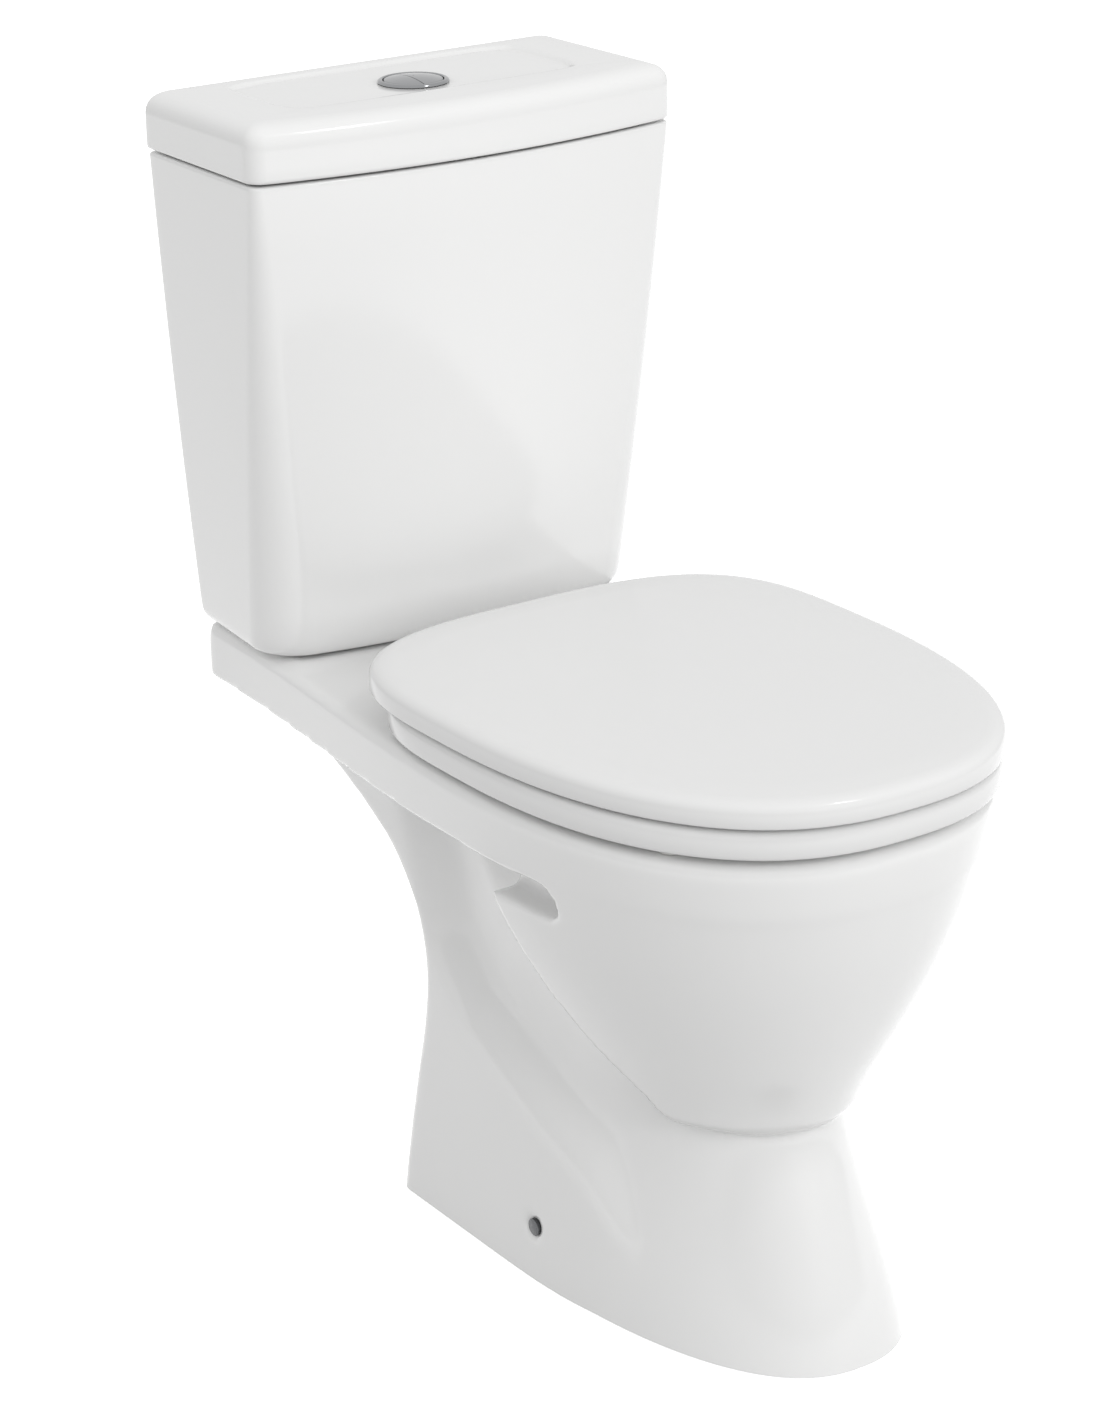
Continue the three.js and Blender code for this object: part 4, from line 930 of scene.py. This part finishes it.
def build_button():
    """A chromed collar and a domed two-part button on push rods."""
    x, y = BUTTON
    bm = bmesh.new()
    lip = ((23.4, 0.3), (25.3, 0.3), (25.75, 0.5), (25.8, 0.9), (25.5, 1.6), (24.8, 2.2), (23.8, 2.55),
           (22.9, 2.55), (22.2, 2.1), (22, 1.4))
    sleeve = [(21.95, 764.2), (23.2, 764.2), (23.4, 764.6)]
    spun(bm, BUTTON, sleeve + [(radius, PANEL_Z + rise) for radius, rise in lip])
    cylinder(bm, (x, y, 764), (x, y, 767), 22.4, 64)
    make("chrome_collar", bm, CHROME, "cistern_cover", ["button_collar"], 30)
    split, half_gap, crown = -4, 0.28, PANEL_Z + 4.6
    shares = (0.02, 0.15, 0.3, 0.45, 0.6, 0.72, 0.82, 0.9, 0.95)
    dome = [(BUTTON_RADIUS * share, crown - 2.4 * share * share) for share in shares]
    edge = [(BUTTON_RADIUS - 0.45, crown - 2.35), (BUTTON_RADIUS - 0.12, crown - 2.75),
            (BUTTON_RADIUS, crown - 3.4)]
    profile = [(0.4, 787), (BUTTON_RADIUS, 787)] + edge[::-1] + dome[::-1]
    for name, side in (("half", -1), ("full", 1)):
        bm = bmesh.new()
        spun(bm, BUTTON, profile, 128)
        outward(bm)
        bmesh.ops.holes_fill(bm, edges=[e for e in bm.edges if len(e.link_faces) == 1])
        seam = cut_flat(bm, place(split + side * half_gap, y, 790), (-side, 0, 0))
        bmesh.ops.edgenet_fill(bm, edges=seam)
        rounded(bm, [e for e in seam if e.is_valid], 0.35)
        make(f"{name}_flush_button_cap", bm, CHROME, f"{name}_button",
             [f"{name}_flush_button"], 40)


# ---- Seat and its lid ----


def knuckle(bm, near, far, side, foot_top):
    """A hinge knuckle: a short barrel on the pin's line with a web to its panel."""
    y, z = HINGE["y"], HINGE["z"]
    made = cylinder(bm, (side * near, y, z), (side * far, y, z), HINGE["radius"])
    ends = {e for v in made for e in v.link_edges if len(e.link_faces) == 2 and e.calc_face_angle() > 1}
    rounded(bm, list(ends), 0.6)
    low, high = sorted((z, foot_top))
    made = block(bm, *across(side, near, far), y - 6.6, y + 6.6, low, high)
    rounded(bm, list({e for v in made for e in v.link_edges}), 0.6)


def build_seat_lid():
    """A thin moulded cover: a straight edge, a soft shoulder and a slightly crowned top."""
    edge = [(424.6, 3.2), (424.7, 1.7), (425.3, 0.5), (426.6, 0), (432, 0), (436, 0.35), (438.6, 1.5),
            (440.6, 3.8), (441.9, 7.4), (442.7, 12.5)]
    outer = [egg_plan(SEAT_LID, z, inset) for z, inset in edge]
    last = outer[-1]
    middle = (0, -415)
    crown = []
    for share in (0.9, 0.8, 0.66, 0.5, 0.34, 0.18, 0.05):
        z = 442.7 + 1.3 * (1 - share ** 2) ** 0.9
        crown.append([(mix(middle[0], x, share), mix(middle[1], y, share), z) for x, y, _ in last])
    inner_edge = [(424.6, 5.4), (424.9, 6.6), (426.5, 7.2), (434, 8), (436.6, 9.6), (438, 13), (438.5, 19)]
    inner = [egg_plan(SEAT_LID, z, inset) for z, inset in inner_edge]
    ceiling = [[(mix(middle[0], x, share), mix(middle[1], y, share), z) for x, y, _ in inner[-1]]
               for share, z in ((0.7, 439.4), (0.4, 439.9), (0.05, 440.2))]
    bm = bmesh.new()
    loft(bm, crown[::-1] + outer[::-1] + inner + ceiling)
    for side in (-1, 1):
        knuckle(bm, 85, 94, side, 440)
    make("seat_lid_cover", bm, SEAT_WHITE, "seat_cover", ["seat_lid"], 50)


def build_seat_ring():
    """The ring: a straight outer edge, a crowned top and a soft inner lip."""
    outer_edge = [(402.4, 5), (402.6, 2.6), (403.6, 0.9), (405.6, 0), (412, 0), (416.6, 0.2), (419, 1.1),
                  (420.8, 2.8), (421.9, 5.4), (422.3, 8.5)]
    inner_edge = [(422.3, -14), (421.6, -9), (420, -5.4), (417.2, -2.4), (413, -0.6), (408, 0), (404.6, -0.8),
                  (402.9, -2.8), (402.4, -5.6)]
    rings = [egg_plan(SEAT_RING, z, inset) for z, inset in outer_edge]
    rings += [egg_plan(SEAT_HOLE, z, inset) for z, inset in inner_edge]
    ring = solid_object("ring_body", lambda bm: loft(bm, rings, closed=True))
    y, z = HINGE["y"], HINGE["z"]
    for side in (-1, 1):
        combine_all(ring, "DIFFERENCE", (block, *across(side, 69, 95.5), y - 13, y + 20, 390, 440))
    bm = bmesh_of(ring.data)
    bpy.data.meshes.remove(ring.data)
    for side in (-1, 1):
        knuckle(bm, 60, 69, side, 413.4)
        block(bm, *across(side, 60.3, 68.7), y - 15, y, z - 6.6, z + 1.8)
    make("seat_ring_moulding", bm, SEAT_WHITE, "seat", ["seat_ring"], 50)


build_cistern()
build_cistern_lid()
build_button()
build_seat_lid()
build_seat_ring()


# ---- Small pieces ----

EDGE_ROUNDING = 0.35
SHARP_DEGREES = 41
KEPT_PLAIN = {"half_flush_spring", "full_flush_spring", "float_lever"}


def dress(node, material, body):
    """A CAD node's own shape with its flat faces cleaned and its sharp edges rounded."""
    bm = bmesh_of(frame["nodes"][node].data)
    bmesh.ops.remove_doubles(bm, verts=bm.verts, dist=2e-6)
    bmesh.ops.dissolve_limit(bm, angle_limit=math.radians(1), verts=bm.verts, edges=bm.edges)
    if node not in KEPT_PLAIN:
        limit = math.radians(SHARP_DEGREES)
        edges = [e for e in bm.edges if len(e.link_faces) == 2 and e.calc_face_angle(0) > limit]
        rounded(bm, edges, EDGE_ROUNDING, 2)
    add_piece(f"{node}_part", bm, material, body, [node], SHARP_DEGREES)


FINISHES = {"white_plastic": WHITE_PLASTIC, "grey_plastic": GREY_PLASTIC, "blue_plastic": BLUE_PLASTIC,
            "black_rubber": BLACK_RUBBER, "pale_rubber": PALE_RUBBER, "chrome": CHROME, "brass": BRASS,
            "steel": STEEL, "glazed_ceramic": GLAZE, "seat_plastic": SEAT_WHITE}
BUILT = {*PAN_NODES, "cistern", "cistern_lid", "button_collar", "half_flush_button", "full_flush_button",
         "seat_ring", "seat_lid"}
SLOT_OF = {part["node"]: part["material_slot"] for part in frame["record"]["subparts"]}
BODY_OF = {node: body for body, nodes in frame["record"]["behaviour"]["bodies"].items() for node in nodes}
for node in sorted(set(SLOT_OF) - BUILT):
    finish = SLOT_OF[node]
    # The fixing screws get steel darkened with the painted shade of their holes, in place of plain steel.
    material = HOLE_SHADE_STEEL if node.startswith("fixing_screw") else FINISHES[finish]
    dress(node, material, BODY_OF[node])

# Each spring, which shortens as its button goes down, gets a mesh of its own.
for joint in frame["record"]["behaviour"]["joints"]:
    for spring in joint.get("deforming_nodes", []):
        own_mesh(bpy.data.objects[spring["node"] + "_part"])


# ---- Stage, light and camera ----

SHEET_TONE = (0.97, 0.99)
SHEET_GLOW = 0.62
SHEET_RETURN = 0.46  # how bright the sheet is as a source of light for the china
ROOM_LIGHT = 0.8
CAMERA_TURNS = (-33.39, 20.89, -1.25)  # azimuth, elevation and roll in degrees
CAMERA_PLACE = (-1.4197, -2.0671, 1.3498)
LENS_MM, SENSOR_MM = 96.96, 36


def seen_directly(nodes, links):
    """1 where a surface is seen by the camera or in a reflection, 0 where it only lights others."""
    path = nodes.new("ShaderNodeLightPath").outputs
    seen = math_node(nodes, links, "MAXIMUM", path["Is Camera Ray"], path["Is Glossy Ray"])
    return math_node(nodes, links, "MAXIMUM", seen, path["Is Transmission Ray"])


def floor_material():
    """A white studio sheet that keeps the soft shadow, and is duller in the light it gives back."""
    material = bpy.data.materials.new("pale_floor")
    material.use_nodes = True
    nodes, links = material.node_tree.nodes, material.node_tree.links
    nodes.clear()
    coordinates = nodes.new("ShaderNodeTexCoord").outputs["Object"]
    drift = noise(nodes, links, coordinates, 1.5)
    sheet = nodes.new("ShaderNodeBsdfDiffuse")
    tone = nodes.new("ShaderNodeMapRange")
    links.new(drift, tone.inputs["Value"])
    set_inputs(tone, To_Min=SHEET_TONE[0], To_Max=SHEET_TONE[1])
    links.new(tone.outputs["Result"], sheet.inputs["Color"])
    glow = nodes.new("ShaderNodeEmission")
    set_inputs(glow, Strength=SHEET_GLOW)
    bright = nodes.new("ShaderNodeAddShader")
    links.new(sheet.outputs[0], bright.inputs[0])
    links.new(glow.outputs[0], bright.inputs[1])
    dull = nodes.new("ShaderNodeBsdfDiffuse")
    set_inputs(dull, Color=(*[SHEET_RETURN] * 3, 1))
    blend = nodes.new("ShaderNodeMixShader")
    links.new(seen_directly(nodes, links), blend.inputs[0])
    links.new(dull.outputs[0], blend.inputs[1])
    links.new(bright.outputs[0], blend.inputs[2])
    links.new(blend.outputs[0], nodes.new("ShaderNodeOutputMaterial").inputs["Surface"])
    return material


def build_floor():
    """The sheet, a hair below the foot."""
    bm = bmesh.new()
    bmesh.ops.create_grid(bm, x_segments=1, y_segments=1, size=6)
    floor = link_object("floor", bm)
    floor.location.z = -0.0005
    floor.data.materials.append(floor_material())


def area_lamp(name, position, target, size, power_watts, mirrored):
    """A square softbox; one that isn't mirrored lights the glaze without showing in it."""
    light = bpy.data.lights.new(name, "AREA")
    light.shape = "SQUARE"
    light.size = size
    light.energy = power_watts
    lamp = bpy.data.objects.new(name, light)
    bpy.context.scene.collection.objects.link(lamp)
    lamp.location = position
    lamp.rotation_euler = (Vector(target) - Vector(position)).to_track_quat("-Z", "Y").to_euler()
    lamp.visible_glossy = mirrored


def build_world():
    """Plain white all round, gentle as a light."""
    world = bpy.data.worlds.new("studio")
    world.use_nodes = True
    nodes, links = world.node_tree.nodes, world.node_tree.links
    around = nodes["Background"]
    set_inputs(around, Color=(1, 1, 1, 1), Strength=ROOM_LIGHT)
    white = nodes.new("ShaderNodeBackground")
    set_inputs(white, Color=(1, 1, 1, 1), Strength=1)
    blend = nodes.new("ShaderNodeMixShader")
    links.new(nodes.new("ShaderNodeLightPath").outputs["Is Camera Ray"], blend.inputs[0])
    links.new(around.outputs[0], blend.inputs[1])
    links.new(white.outputs[0], blend.inputs[2])
    links.new(blend.outputs[0], nodes["World Output"].inputs["Surface"])
    bpy.context.scene.world = world


def build_camera():
    """The camera's place, aim and slight roll, and its lens."""
    azimuth, elevation, roll = map(math.radians, CAMERA_TURNS)
    forward = Vector((-math.sin(azimuth) * math.cos(elevation), math.cos(azimuth) * math.cos(elevation),
                      -math.sin(elevation)))
    right = forward.cross(Vector((0, 0, 1))).normalized()
    up = right.cross(forward)
    level_right = right * math.cos(roll) + up * math.sin(roll)
    level_up = up * math.cos(roll) - right * math.sin(roll)
    data = bpy.data.cameras.new("camera")
    data.lens, data.sensor_width = LENS_MM, SENSOR_MM
    camera = bpy.data.objects.new("camera", data)
    bpy.context.scene.collection.objects.link(camera)
    turn = Matrix((level_right, level_up, -forward)).transposed().to_4x4()
    camera.matrix_world = Matrix.Translation(Vector(CAMERA_PLACE)) @ turn
    data.clip_start, data.clip_end = 0.05, 40
    bpy.context.scene.camera = camera


build_floor()
build_world()
build_camera()
MIDDLE = (0, 0, 0.4)
area_lamp("front_softbox", (0.2, -4.2, 1.9), MIDDLE, 2.4, 57, False)
area_lamp("upper_left_softbox", (-2.2, 0.2, 3.0), MIDDLE, 1.4, 4, False)
area_lamp("small_top_softbox", (0.8, -1.5, 3.2), MIDDLE, 0.35, 7, True)

bpy.context.scene.view_settings.view_transform = "Standard"
